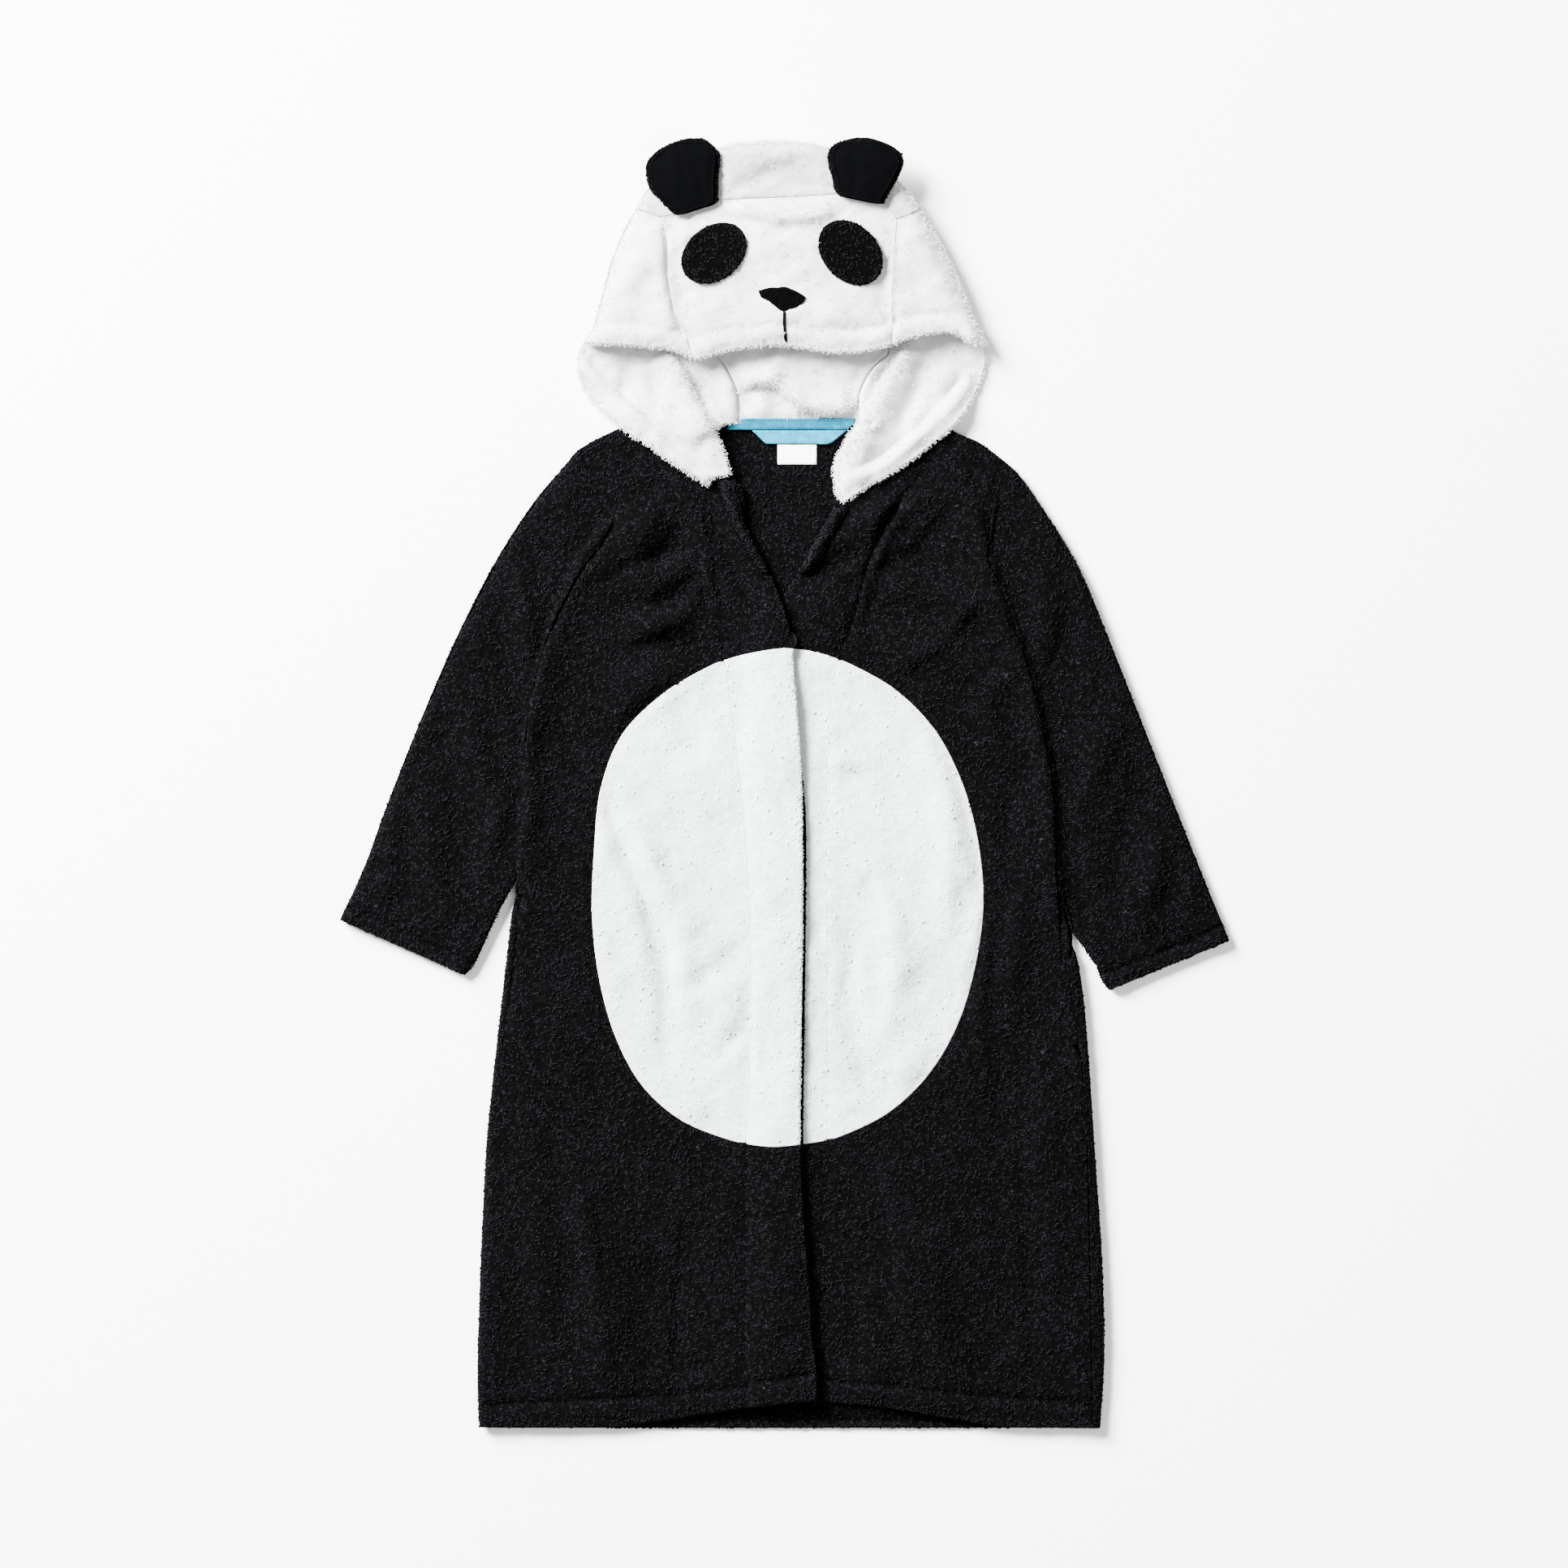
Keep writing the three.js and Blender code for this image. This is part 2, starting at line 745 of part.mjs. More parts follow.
addMesh("back", backPanel(), "black");
addMesh("front_left", frontLeft(), "black");
addMesh("front_right", frontRight(), "black");
addMesh("tummy_left", tummySide(leftRows, leftBandSeam, -1, leftMiddle), "white");
addMesh("tummy_right", tummySide(rightRows, rightBandSeam, 1, rightMiddle), "white");

// Front bands

const bandColumns = 5;
function bandPieces(side, rows, upperRows, left, right, middle) {
  const name = side < 0 ? "left" : "right";
  const edges = { left: (y) => left(y) + half, right: (y) => right(y) - half };
  const low = (x) => tummyEnd(x, -1);
  const high = (x) => tummyEnd(x, 1);
  const common = { ...edges, middle, columns: bandColumns };
  const lower = panelBetween({
    ...common,
    rows: [...lowerRows.filter((y) => y < rows[0] - 6), rows[0] - seamGap],
    endAt: (x) => low(x) - half,
    thickness: hemThickness,
  });
  const centre = panelBetween({
    ...common,
    rows,
    startAt: (x) => low(x) + half,
    endAt: (x) => high(x) - half,
  });
  const upper = panelBetween({
    ...common,
    rows: [rows.at(-1), ...upperRows.filter((y) => y > 104)],
    startAt: (x) => high(x) + half,
  });
  addMesh(`band_${name}_lower`, lower, "black");
  addMesh(`band_${name}_middle`, centre, "white");
  addMesh(`band_${name}_upper`, upper, "black");
}
bandPieces(-1, leftRows, leftUpperRows, leftBandSeam, leftEdge, leftMiddle);
bandPieces(1, rightRows, rightUpperRows, rightEdge, rightBandSeam, rightMiddle);

// Hidden placket, its turned out end and the right front's turned out edge

function placket() {
  const rows = [-440, -400, -340, -265, -200, -140, -80, -20, 40, 80, 100, 115, 128];
  const peek = 2.2; // what shows past the band's edge over the tummy and below it
  const tuck = 1.5; // how far it stays back under the band above that
  const steps = [-12, -9, -6, -3.5, -1.5];
  const grid = rows.map((y) => {
    const start = rightEdge(y);
    const end = leftEdge(y) - tuck + (peek + tuck) * smooth((8 - y) / 16);
    const across = [...steps.map((step) => start + step), mix(start, end, 0.5), end];
    return across.map((x) => {
      const climb = smooth((x - start + 12) / 10);
      const z = mix(5.4, placketTop - placketWall / 2, climb);
      return { x, y: y + hemShift(x, y), z, thick: placketWall };
    });
  });
  return wall(facesOf(grid));
}
addMesh("placket_left", placket(), "black");

function strip({ rows, under, lift, thick, columns = 3 }) {
  const grid = rows.map((row) =>
    Array.from({ length: columns + 1 }, (_, k) => {
      const t = k / columns;
      const x = mix(row.left, row.right, t);
      const swell = Math.sin(Math.PI * t) * 0.6;
      return { x, y: row.y, z: under(x, row.y) + fleece / 2 + lift + thick / 2 + swell, thick };
    }),
  );
  return wall(facesOf(grid));
}
const turnedLift = 0.45;
const turnedWall = 1.6;
addMesh(
  "placket_left_turned",
  strip({
    rows: table("y left right", [
      [224, -50, -36],
      [215, -46, -30.5],
      [207, -43, -30],
      [193, -38, -29.4],
      [180, -31, -23],
      [168, -24, -17.2],
      [156, -16.5, -11.2],
    ]),
    under: leftMiddle,
    lift: turnedLift,
    thick: turnedWall,
  }),
  "black",
);
addMesh(
  "edge_right_turned",
  strip({
    rows: table("y left right", [
      [156, 10.6, 19],
      [166, 16, 26.5],
      [178, 22.6, 33.2],
      [190, 29.2, 39.8],
      [204, 36.8, 47.2],
    ]),
    under: rightMiddle,
    lift: turnedLift,
    thick: turnedWall,
    columns: 4,
  }),
  "black",
);

// The strip of the pocket bag between the two sides of the right side seam
const pocketWall = 2;
const pocketSag = 0.5; // how far it lies below the side's top
function pocketRight() {
  const grid = pocketRows.slice(1).map((y) => {
    const left = frontSideEdge(y) + half;
    const right = Math.max(left + 1.2, backSideEdge(y) - half);
    return [0, 0.5, 1].map((t) => {
      const sag = pocketSag * (1 + 4 * t * (1 - t));
      return { x: mix(left, right, t), y, z: sideMiddle - sag, thick: pocketWall };
    });
  });
  return wall(facesOf(grid));
}
addMesh("pocket_right", pocketRight(), "black");

// Buttons between placket and band, 97 mm apart
const buttons = table("name x y", [
  ["button_1", 3.2, 106],
  ["button_2", 3, 13.5],
  ["button_3", 2, -83.5],
  ["button_4", 2, -180.5],
]);
for (const { name, x, y } of buttons) {
  const low = placketTop + seamGap;
  const rim = [
    [0, 0],
    [0.82, 0],
    [1, 0.35],
    [1, 0.75],
    [0.9, 1],
    [0.74, 0.8],
    [0, 0.8],
  ].map(([out, up]) => new THREE.Vector2(out * buttonRadius, up * buttonThick));
  const geometry = new THREE.LatheGeometry(rim, 14);
  geometry.rotateX(Math.PI / 2);
  geometry.translate(x, y, low);
  addMesh(name, toGeometry(toSolid(geometry)), "button");
}

// Sleeves: flattened open tubes from armhole to cuff

const leftSleeve = {
  armhole: leftArmhole,
  side: -1,
  outer: table("x y", [
    [-152.4, 246.6],
    [-167.4, 228.6],
    [-182.4, 211.2],
    [-198, 187.2],
    [-219.6, 154.2],
    [-232.2, 129],
    [-267, 50.4],
    [-293.4, -16.8],
    [-310.8, -66],
    [-321, -86.4],
    [-326.4, -101],
  ]),
  inner: table("x y", [
    [-197.4, -70.8],
    [-205.2, -83.4],
    [-213.8, -100.2],
    [-222.6, -119.4],
    [-229, -133.2],
    [-236, -141],
  ]),
};
const rightSleeve = {
  armhole: rightArmhole,
  side: 1,
  outer: table("x y", [
    [161.4, 239.4],
    [171.6, 230.4],
    [181.2, 217.8],
    [201.6, 186.6],
    [222, 151.2],
    [246, 91.2],
    [263.4, 47.4],
    [286.8, -10.8],
    [306.4, -63],
    [320.4, -95.4],
    [328, -116],
  ]),
  inner: table("x y", [
    [213, -110.4],
    [222.6, -122.6],
    [231.6, -136.2],
    [235, -143],
    [242, -151.6],
  ]),
};
const sleeveRoll = 2.5; // middle of the wall at a sleeve's edges
const sleeveRest = 5.4;
const sleeveFolds = table("x1 y1 x2 y2 wide high", [
  [-206, 160, -178, 96, 8, 0.8],
  [-232, 60, -214, 4, 10, 0.8],
  [-262, -30, -248, -90, 10, 0.7],
  [-206, -8, -222, -60, 8, 0.7],
  [196, 150, 190, 96, 8, 0.8],
  [240, 40, 222, -12, 10, 0.8],
  [272, -40, 262, -96, 10, 0.7],
  [214, -10, 232, -76, 8, 0.7],
]);

const stations = [0, 0.035, 0.12, 0.25, 0.41, 0.58, 0.76, 0.9, 1]; // shares of a sleeve's length

function sleeve({ armhole, side, outer, inner }) {
  const point = (row) => new THREE.Vector3(row.x, row.y, 0);
  const curve = (rows) => new THREE.CatmullRomCurve3(rows.map(point), false, "centripetal");
  const [outerLine, innerLine] = [curve(outer), curve(inner)];
  const seam = sortedBy(armhole, "y").reverse().map(point);
  for (const corner of seam) corner.x += side * half;
  const lengths = seam.map((corner, k) => (k ? corner.distanceTo(seam[k - 1]) : 0));
  const total = lengths.reduce((sum, length) => sum + length, 0);
  let run = 0;
  const shares = lengths.map((length) => (run += length) / total);
  const cuff = [outer.at(-1), inner.at(-1)].map(point);
  const corners = [seam[0], seam.at(-1), ...cuff];
  const rings = stations.map((v) => {
    const line = shares.map((u, k) => {
      const across = cuff[0].clone().lerp(cuff[1], u);
      const spot = seam[k].clone().lerp(across, v);
      spot.add(outerLine.getPointAt(v).lerp(innerLine.getPointAt(v), u));
      const low = corners[0].clone().lerp(corners[1], u);
      const high = corners[2].clone().lerp(corners[3], u);
      return spot.sub(low.lerp(high, v));
    });
    return ringFrom(line, shares, v);
  });
  return tube(rings);
}

// One ring: over the top, round the inner edge, back underneath and round the outer edge.
function ringFrom(line, shares, v) {
  const width = line[0].distanceTo(line.at(-1));
  const inset = sleeveRoll + fleece / 2;
  const rolled = backMiddle + 2 * sleeveRoll;
  const atSeam = smooth(1 - v / stations[2]);
  const placed = line.map((point, k) => {
    const ends = k === 0 || k === line.length - 1;
    const neighbour = k === 0 ? line[1] : line[k - 1];
    const inwards = neighbour.clone().sub(point).normalize();
    const inside = ends ? Math.min(inset, 0.45 * point.distanceTo(neighbour)) : 0;
    const spot = point.clone().addScaledVector(inwards, inside);
    if (ends) return { spot, z: rolled, inwards };
    const edge = Math.min(shares[k], 1 - shares[k]) * width;
    const fold = foldHeight(sleeveFolds, spot.x, spot.y) * smooth(edge / 15);
    const rest = mix(sleeveRest, rolled, smooth(1 - edge / 22)) + fold;
    const joined = frontMiddle(spot.x - Math.sign(spot.x) * 4, spot.y);
    return { spot, z: mix(clamp(rest, sleeveRest - 0.5, 7.6), joined, atSeam), inwards };
  });
  const top = placed.map(({ spot, z }) => ({ x: spot.x, y: spot.y, z, outZ: 1, thick: fleece }));
  const bottom = placed.map(({ spot }) => ({ x: spot.x, y: spot.y, z: backMiddle, outZ: -1, thick: fleece }));
  const turn = ({ spot, inwards }, way) =>
    [0.25, 0.5, 0.75].map((t) => {
      const angle = Math.PI * (way > 0 ? 0.5 - t : t - 0.5);
      const out = Math.cos(angle);
      const up = Math.sin(angle);
      return {
        x: spot.x - inwards.x * sleeveRoll * out,
        y: spot.y - inwards.y * sleeveRoll * out,
        z: backMiddle + sleeveRoll + sleeveRoll * up,
        outX: -inwards.x * out,
        outY: -inwards.y * out,
        outZ: up,
        thick: fleece,
      };
    });
  return [...top, ...turn(placed.at(-1), 1), ...bottom.reverse(), ...turn(placed[0], -1)];
}
addMesh("sleeve_left", sleeve(leftSleeve), "black");
addMesh("sleeve_right", sleeve(rightSleeve), "black");

// Hood: a hollow shell round the head's room, cut along its seams, with its lower part opened out

// Outline of the closed part, from the rim up to the crown.
const hoodOutline = table("y left right", [
  [306, -150, 150],
  [324, -149.4, 149],
  [335, -141.6, 145],
  [345, -138.6, 138.8],
  [363, -133.8, 132.4],
  [383, -128.4, 123.4],
  [403, -120.6, 113.2],
  [421, -111.6, 103],
  [438, -101.2, 90.6],
  [451, -89, 77.5],
  [460, -74.5, 63.5],
  [466.5, -59, 45.5],
  [470.5, -46, 31],
  [473.2, -33, 18],
  [474.6, -18, 4],
]);
const crownTop = 474.9;
const domeHeight = 1.4;
function dome(x, y) {
  const along = smooth((y - 310) / 40) * smooth((465 - y) / 45);
  return domeHeight * smooth(1 - Math.abs(x) / 110) * along;
}
const hoodFolds = table("x1 y1 x2 y2 wide high", [
  [-30, 426, 26, 427, 7, -0.9],
  [-118, 372, -92, 352, 9, 0.8],
  [96, 388, 118, 360, 9, 0.8],
  [-20, 392, 30, 360, 16, 0.6],
]);
const faceTop = (x, y) => hoodHeight + dome(x, y) + foldHeight(hoodFolds, x, y);

// One closed ring for each row, inset from the outside: over the top, round the right, back underneath.
function hoodRings(inset) {
  const middle = hoodHeight / 2;
  const reach = hoodEdge - inset;
  const across = 7;
  return hoodOutline.map((row) => {
    const y = row.y < 440 ? row.y : row.y - inset * smooth((row.y - 440) / 30);
    const fromCrown = clamp((crownTop - inset - y) / reach, 0, 1);
    const high = reach * Math.sqrt(Math.max(0.02, 1 - (1 - fromCrown) ** 2));
    const [left, right] = [row.left + inset, row.right - inset];
    const round = Math.min(high, (right - left) / 2.2);
    const [from, to] = [left + round, right - round];
    const turn = (x, way, t) => {
      const angle = Math.PI * (0.5 - t);
      return { x: x + way * round * Math.cos(angle), y, z: middle + high * Math.sin(angle) };
    };
    const top = Array.from({ length: across + 1 }, (_, k) => {
      const x = mix(from, to, k / across);
      const lift = (faceTop(x, y) - hoodHeight) * smooth(high / reach - 0.2);
      return { x, y, z: middle + high + lift };
    });
    const under = [1, 0.5, 0].map((t) => ({ x: mix(from, to, t), y, z: middle - high }));
    const [rightTurn, leftTurn] = [
      [0.25, 0.5, 0.75].map((t) => turn(to, 1, t)),
      [0.75, 0.5, 0.25].map((t) => turn(from, -1, t)),
    ];
    return [...top, ...rightTurn, ...under, ...leftTurn];
  });
}
const hoodShell = toSolid(loft(hoodRings(0))).subtract(toSolid(loft(hoodRings(plush))));

// The rim: the face layer's lower edge.
const rimLine = table("x y", [
  [-160, 327],
  [-138.6, 325.2],
  [-120.6, 324.6],
  [-105, 322.8],
  [-87, 321.6],
  [-76.2, 318.6],
  [-64.8, 313.8],
  [-56.4, 315.6],
  [-45, 319.8],
  [-27.6, 322.2],
  [-3, 324],
  [16.8, 321.6],
  [37.2, 318.6],
  [54.6, 319.2],
  [72.6, 322.8],
  [88.2, 327.6],
  [101.4, 331.8],
  [117, 333.6],
  [130.2, 331.8],
  [140, 324],
  [160, 322],
]);
const rimY = flowing(rimLine, "x", "y");
// Seams of the face layer.
const faceLeftSeam = flowing(
  table("y x", [
    [300, -65],
    [328.2, -70.8],
    [349.2, -81.6],
    [373.2, -85.8],
    [399, -86.4],
    [418.2, -90.6],
  ]),
  "y",
  "x",
);
const faceRightSeam = flowing(
  table("y x", [
    [300, 80],
    [357, 79.8],
    [373.2, 80.4],
    [416.4, 83.4],
  ]),
  "y",
  "x",
);
const browLine = table("x y", [
  [-90.6, 418.2],
  [-70, 423.6],
  [-47, 430.8],
  [-16, 432],
  [15, 433.5],
  [37, 435],
  [60, 431],
  [76, 427],
  [83.4, 416.4],
]);
const browEnds = [browLine[0].x + half, browLine.at(-1).x - half];
const sideTop = { left: [-122, 428], right: [116, 430] };
const hoodCut = hoodHeight / 2; // above it lies the face layer, below it the back layer

const lineAcross = (from, to, count) =>
  Array.from({ length: count + 1 }, (_, k) => {
    const x = mix(from, to, k / count);
    return [x, rimY(x)];
  });
const faceRows = { left: [314, 328, 349, 373, 399, 414], right: [324, 340, 357, 373, 400, 412] };
const along = (curve, rows, offset) => rows.map((y) => [curve(y) + offset, y]);
const lineUp = (curve, from, to, count, offset) =>
  Array.from({ length: count + 1 }, (_, k) => {
    const y = mix(from, to, k / count);
    return [curve(y) + offset, y];
  });
const overTop = 40;
function faceRegion() {
  const outline = [
    ...lineAcross(-64, 79, 12),
    ...along(faceRightSeam, faceRows.right, -half),
    ...[...browLine].reverse().map((row) => [clamp(row.x, browEnds[0], browEnds[1]), row.y - half]),
    ...along(faceLeftSeam, [...faceRows.left].reverse(), half),
  ];
  return block(outline, hoodCut, overTop);
}
function sideRegion(side) {
  const left = side < 0;
  const name = left ? "left" : "right";
  const corner = left ? browLine[0] : browLine.at(-1);
  const [curve, gap] = left ? [faceLeftSeam, -half] : [faceRightSeam, half];
  const outline = [
    ...along(curve, faceRows[name], gap),
    [corner.x + gap, corner.y - half],
    [sideTop[name][0], sideTop[name][1] - half],
    [side * 165, 428],
    ...lineAcross(side * 160, left ? -74 : 84, 7),
  ];
  return block(outline, hoodCut, overTop);
}
function crownRegion() {
  const outline = [
    [sideTop.left[0], sideTop.left[1] + half],
    ...browLine.map((row) => [row.x, row.y + half]),
    [sideTop.right[0], sideTop.right[1] + half],
    [130, 500],
    [-130, 500],
  ];
  return block(outline, hoodCut, overTop);
}
// Seams of the back layer, seen inside the hood: left and right of the centre back.
const backSeams = table("y left right", [
  [266.3, -33, 54.6],
  [273, -33, 54.6],
  [288.6, -34.2, 55.8],
  [304.2, -40.8, 62.6],
  [318, -50.4, 77],
  [345, -56, 78],
  [431, -58, 74],
]);
const backLeftSeam = flowing(backSeams, "y", "left");
const backRightSeam = flowing(backSeams, "y", "right");
const openFrom = 330; // below this the hood's lower layer is opened out
const crownBack = 430;
function lowerRegion(side) {
  const top = crownBack - half;
  const centre = () => [
    ...lineUp(backRightSeam, openFrom, top, 3, -half),
    ...lineUp(backLeftSeam, top, openFrom, 3, half),
  ];
  const beside = () => [
    ...lineUp(side < 0 ? backLeftSeam : backRightSeam, openFrom, top, 3, side * half),
    [side * 165, top],
    [side * 165, openFrom],
  ];
  return block(side === 0 ? centre() : beside(), -1, hoodCut);
}
const crownLower = block(
  [
    [-130, crownBack + half],
    [130, crownBack + half],
    [130, 500],
    [-130, 500],
  ],
  -1,
  hoodCut,
);

// Lower layer, opened out with its inside up: it climbs onto the shoulders, with a ridge at each side.
const wingOutline = table("y left right", [
  [332, -143.4, 145.6],
  [324, -149.4, 148.4],
  [318, -152, 149],
  [308, -152.8, 148.2],
  [297.6, -150.6, 145],
  [283.2, -142.8, 138],
  [271.8, -129.6, 130.4],
  [262.8, -119.4, 122.6],
  [253.2, -105, 111],
  [240, -86, 94.8],
  [237.6, -82.8, 91],
  [227.4, -67.2, 74.4],
  [220.8, -57.6, 63],
  [215.4, -55, 54.6],
  [208.2, -54, 43.6],
]);
const wingInner = table("y left right", [
  [332, -54.2, 77.6],
  [318, -50.4, 77],
  [304.2, -40.8, 62.6],
  [288.6, -34.2, 55.8],
  [273, -33, 54.6],
  [266.6, -33.2, 54.6],
  [266, -43.8, 54.4],
  [261, -51.6, 50.6],
  [253.2, -47.8, 45.6],
  [248.4, -45.8, 43],
  [241.8, -43.2, 39.2],
  [237.6, -42.4, 37.2],
  [229.2, -39.6, 36.8],
  [225.8, -54.4, 37.2],
  [220.8, -56, 38],
  [213, -56, 39],
  [208.2, -56, 41.8],
]);
// How far from the middle the lower layer starts to climb, and its height there.
const climbStart = table("y left right", [
  [266.6, 31, 54],
  [266, 31, 46],
  [262, 31, 42],
  [248, 29, 32],
  [238, 22, 27],
  [226, 16, 22],
  [208, 16, 16],
]);
const climbLeft = straight(climbStart, "y", "left");
const climbRight = straight(climbStart, "y", "right");
const hoodInnerFolds = table("x1 y1 x2 y2 wide high", [
  [-86, 321, -79, 307, 8, 2.2],
  [-79, 307, -63, 273, 8, 2.6],
  [-63, 273, -43, 244, 6, 1.2],
  [86, 324, 79, 305, 8, 2.2],
  [79, 305, 61, 286, 8, 2.6],
  [61, 286, 42, 250, 6, 1.2],
  [-14, 308, -6, 276, 9, 1.4],
  [22, 312, 32, 282, 9, 1.4],
]);
function lowerMiddle(x, y) {
  const start = x < 0 ? climbLeft(y) : climbRight(y);
  const out = smooth((Math.abs(x) - start) / 16);
  const near = smooth((290 - y) / 23);
  return plush / 2 + wingLift * near * out;
}
function lowerExtra(x, y) {
  const underTape = x > backLeftSeam(y) && x < backRightSeam(y) ? smooth((y - 271) / 10) : 1;
  return Math.max(0, foldHeight(hoodInnerFolds, x, y)) * smooth((330 - y) / 12) * underTape;
}
function lowerPiece(rows, left, right, columns) {
  const grid = rows.map((y) =>
    Array.from({ length: columns + 1 }, (_, k) => {
      const x = mix(left(y), right(y), k / columns);
      const extra = lowerExtra(x, y);
      return { x, y, z: lowerMiddle(x, y) + extra / 2, thick: plush + extra };
    }),
  );
  return toSolid(wall(facesOf(grid)));
}
const wingRows = [
  332, 324, 318, 308, 298, 288, 280, 273, 266.6, 266, 261, 253.2, 247, 241.8, 235, 229.2, 225.8,
];
const outLeft = flowing(wingOutline, "y", "left");
const outRight = flowing(wingOutline, "y", "right");
const inLeft = straight(wingInner, "y", "left");
const inRight = straight(wingInner, "y", "right");
const leftWing = lowerPiece([...wingRows, 221.4], outLeft, (y) => inLeft(y) - half, 8);
const rightWing = lowerPiece([...wingRows, 220.8, 214, 208.6], (y) => inRight(y) + half, outRight, 8);
const centreLower = lowerPiece(
  [332, 318, 304.2, 288.6, 273, 266.6],
  (y) => backLeftSeam(y) + half,
  (y) => backRightSeam(y) - half,
  6,
);

const sumOf = (solids) => solids.reduce((sum, next) => sum.add(next));
const cut = (...regions) => sumOf(regions.map((region) => hoodShell.intersect(region)));
addMesh("hood_centre_back", toGeometry(cut(lowerRegion(0)).add(centreLower)), "plushWhite");
addMesh("hood_side_left", toGeometry(cut(sideRegion(-1), lowerRegion(-1)).add(leftWing)), "plushWhite");
addMesh("hood_side_right", toGeometry(cut(sideRegion(1), lowerRegion(1)).add(rightWing)), "plushWhite");
addMesh("hood_face", toGeometry(cut(faceRegion())), "plushWhite");
addMesh("hood_crown", toGeometry(cut(crownRegion(), crownLower)), "plushWhite");

// Ears: a fleece back and a smooth woven front, sewn in where crown and face meet

const ears = {
  left: table("y left right", [
    [419.8, -80.6, -74.5],
    [423.6, -85, -62.4],
    [426.6, -87.6, -52.8],
    [429.2, -89.8, -48.6],
    [438.6, -99, -48.4],
    [450, -101.4, -48.4],
    [457.2, -101.2, -47.2],
    [464.8, -95.4, -47.4],
    [469.7, -88, -51.4],
    [473.2, -80, -55.6],
    [475.8, -70, -60],
  ]),
  right: table("y left right", [
    [427.6, 68, 73],
    [430, 55, 74.4],
    [433.2, 41, 76],
    [438.2, 37.2, 79],
    [448.2, 35.4, 84.6],
    [457.8, 32.6, 88.2],
    [464.4, 32.4, 86.8],
    [469.6, 35.2, 80.4],
    [473.2, 41.6, 72.4],
    [476.2, 53, 62],
  ]),
};
const earWall = 2.6;
const earFrontWall = 1.2;
const earRim = 3.2; // what shows of the back round the front
const earGap = 0.6; // over the face layer
for (const [name, rows] of Object.entries(ears)) {
  const middle = rows.reduce((sum, row) => sum + (row.left + row.right) / 2, 0) / rows.length;
  const puff = (x, y) => 2.2 * smooth(1 - Math.hypot(x - middle, y - 452) / 40);
  const slab = (own, margin, low, thick) => {
    const grid = own.map((row) =>
      [0, 0.25, 0.5, 0.75, 1].map((t) => {
        const rim = Math.min(margin, (row.right - row.left) * 0.3);
        const x = mix(row.left + rim, row.right - rim, t);
        const z = faceTop(x, row.y) + earGap + low + puff(x, row.y) + thick / 2;
        return { x, y: row.y, z, thick };
      }),
    );
    return wall(facesOf(grid));
  };
  addMesh(`ear_${name}_back`, slab(rows, 0, 0, earWall), "black");
  const front = slab(rows.slice(0, -1), earRim, earWall + seamGap, earFrontWall);
  addMesh(`ear_${name}_front`, front, "woven");
}

// Eye patches and nose, laid on the face

const onFace = (x, y) => faceTop(x, y) + seamGap + half;
const patchWall = 1.6;
const eyes = table("name x y long wide tilt", [
  ["eye_left", -51.6, 391.2, 26.4, 19.6, 38],
  ["eye_right", 49, 391.6, 27, 20.2, -46],
]);
for (const eye of eyes) {
  const tilt = THREE.MathUtils.degToRad(eye.tilt);
  addMesh(
    eye.name,
    patch({
      middle: eye,
      reach: (angle) => {
        const [c, s] = [Math.cos(angle - tilt), Math.sin(angle - tilt)];
        return (eye.long * eye.wide) / Math.hypot(eye.wide * c, eye.long * s);
      },
      spokes: 18,
      steps: 2,
      under: onFace,
      thick: patchWall,
    }),
    "black",
  );
}
// A rounded triangle, its point down: how far its edge lies from its middle, in degrees anticlockwise.
const nose = table("angle reach", [
  [-183, 15.8],
  [-164, 10.2],
  [-125.5, 8.6],
  [-91, 10],
  [-64, 10.4],
  [-35, 12.2],
  [-12.4, 15.8],
  [-1.3, 17.2],
  [14.5, 12.8],
  [47, 8.5],
  [110, 7.6],
  [146.8, 12.4],
  [166.4, 18.7],
  [177, 15.8],
]);
const noseReach = flowing(nose, "angle", "reach");
addMesh(
  "nose",
  patch({
    middle: { x: -1, y: 358.6 },
    reach: (angle) => {
      const degrees = THREE.MathUtils.radToDeg(angle);
      return noseReach(degrees > 180 ? degrees - 360 : degrees);
    },
    spokes: 24,
    steps: 2,
    under: onFace,
    thick: patchWall,
  }),
  "black",
);

// Neck tape, hanging loop and label on the inside of the back neck

function flatPiece(rows, low, thick, columns = 4) {
  const grid = rows.map((row) =>
    Array.from({ length: columns + 1 }, (_, k) => {
      const x = mix(row.left, row.right, k / columns);
      return { x, y: row.y, z: low + thick / 2, thick };
    }),
  );
  return wall(facesOf(grid));
}
addMesh(
  "neck_tape",
  flatPiece(
    table("y left right", [
      [261.8, -42.6, 47],
      [265, -40.6, 50.4],
      [265.6, -32.4, 51.4],
      [270, -31.6, 53],
    ]),
    plush + seamGap,
    0.9,
    8,
  ),
  "tape",
);
addMesh(
  "hanging_loop",
  flatPiece(
    table("y left right", [
      [251.4, -13.2, 33],
      [256, -18, 40],
      [261.2, -23.4, 46.2],
    ]),
    fleece + seamGap,
    1.6,
  ),
  "tape",
);
addMesh(
  "label",
  flatPiece(
    table("y left right", [
      [236.2, -4.6, 24],
      [242, -4.6, 24],
      [250.8, -4.6, 24],
    ]),
    fleece + seamGap,
    0.5,
  ),
  "label",
);

export default root;
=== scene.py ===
import math

import bmesh
import bpy
import numpy as np
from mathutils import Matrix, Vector
from mathutils.bvhtree import BVHTree
from mathutils.geometry import delaunay_2d_cdt
from mathutils.kdtree import KDTree


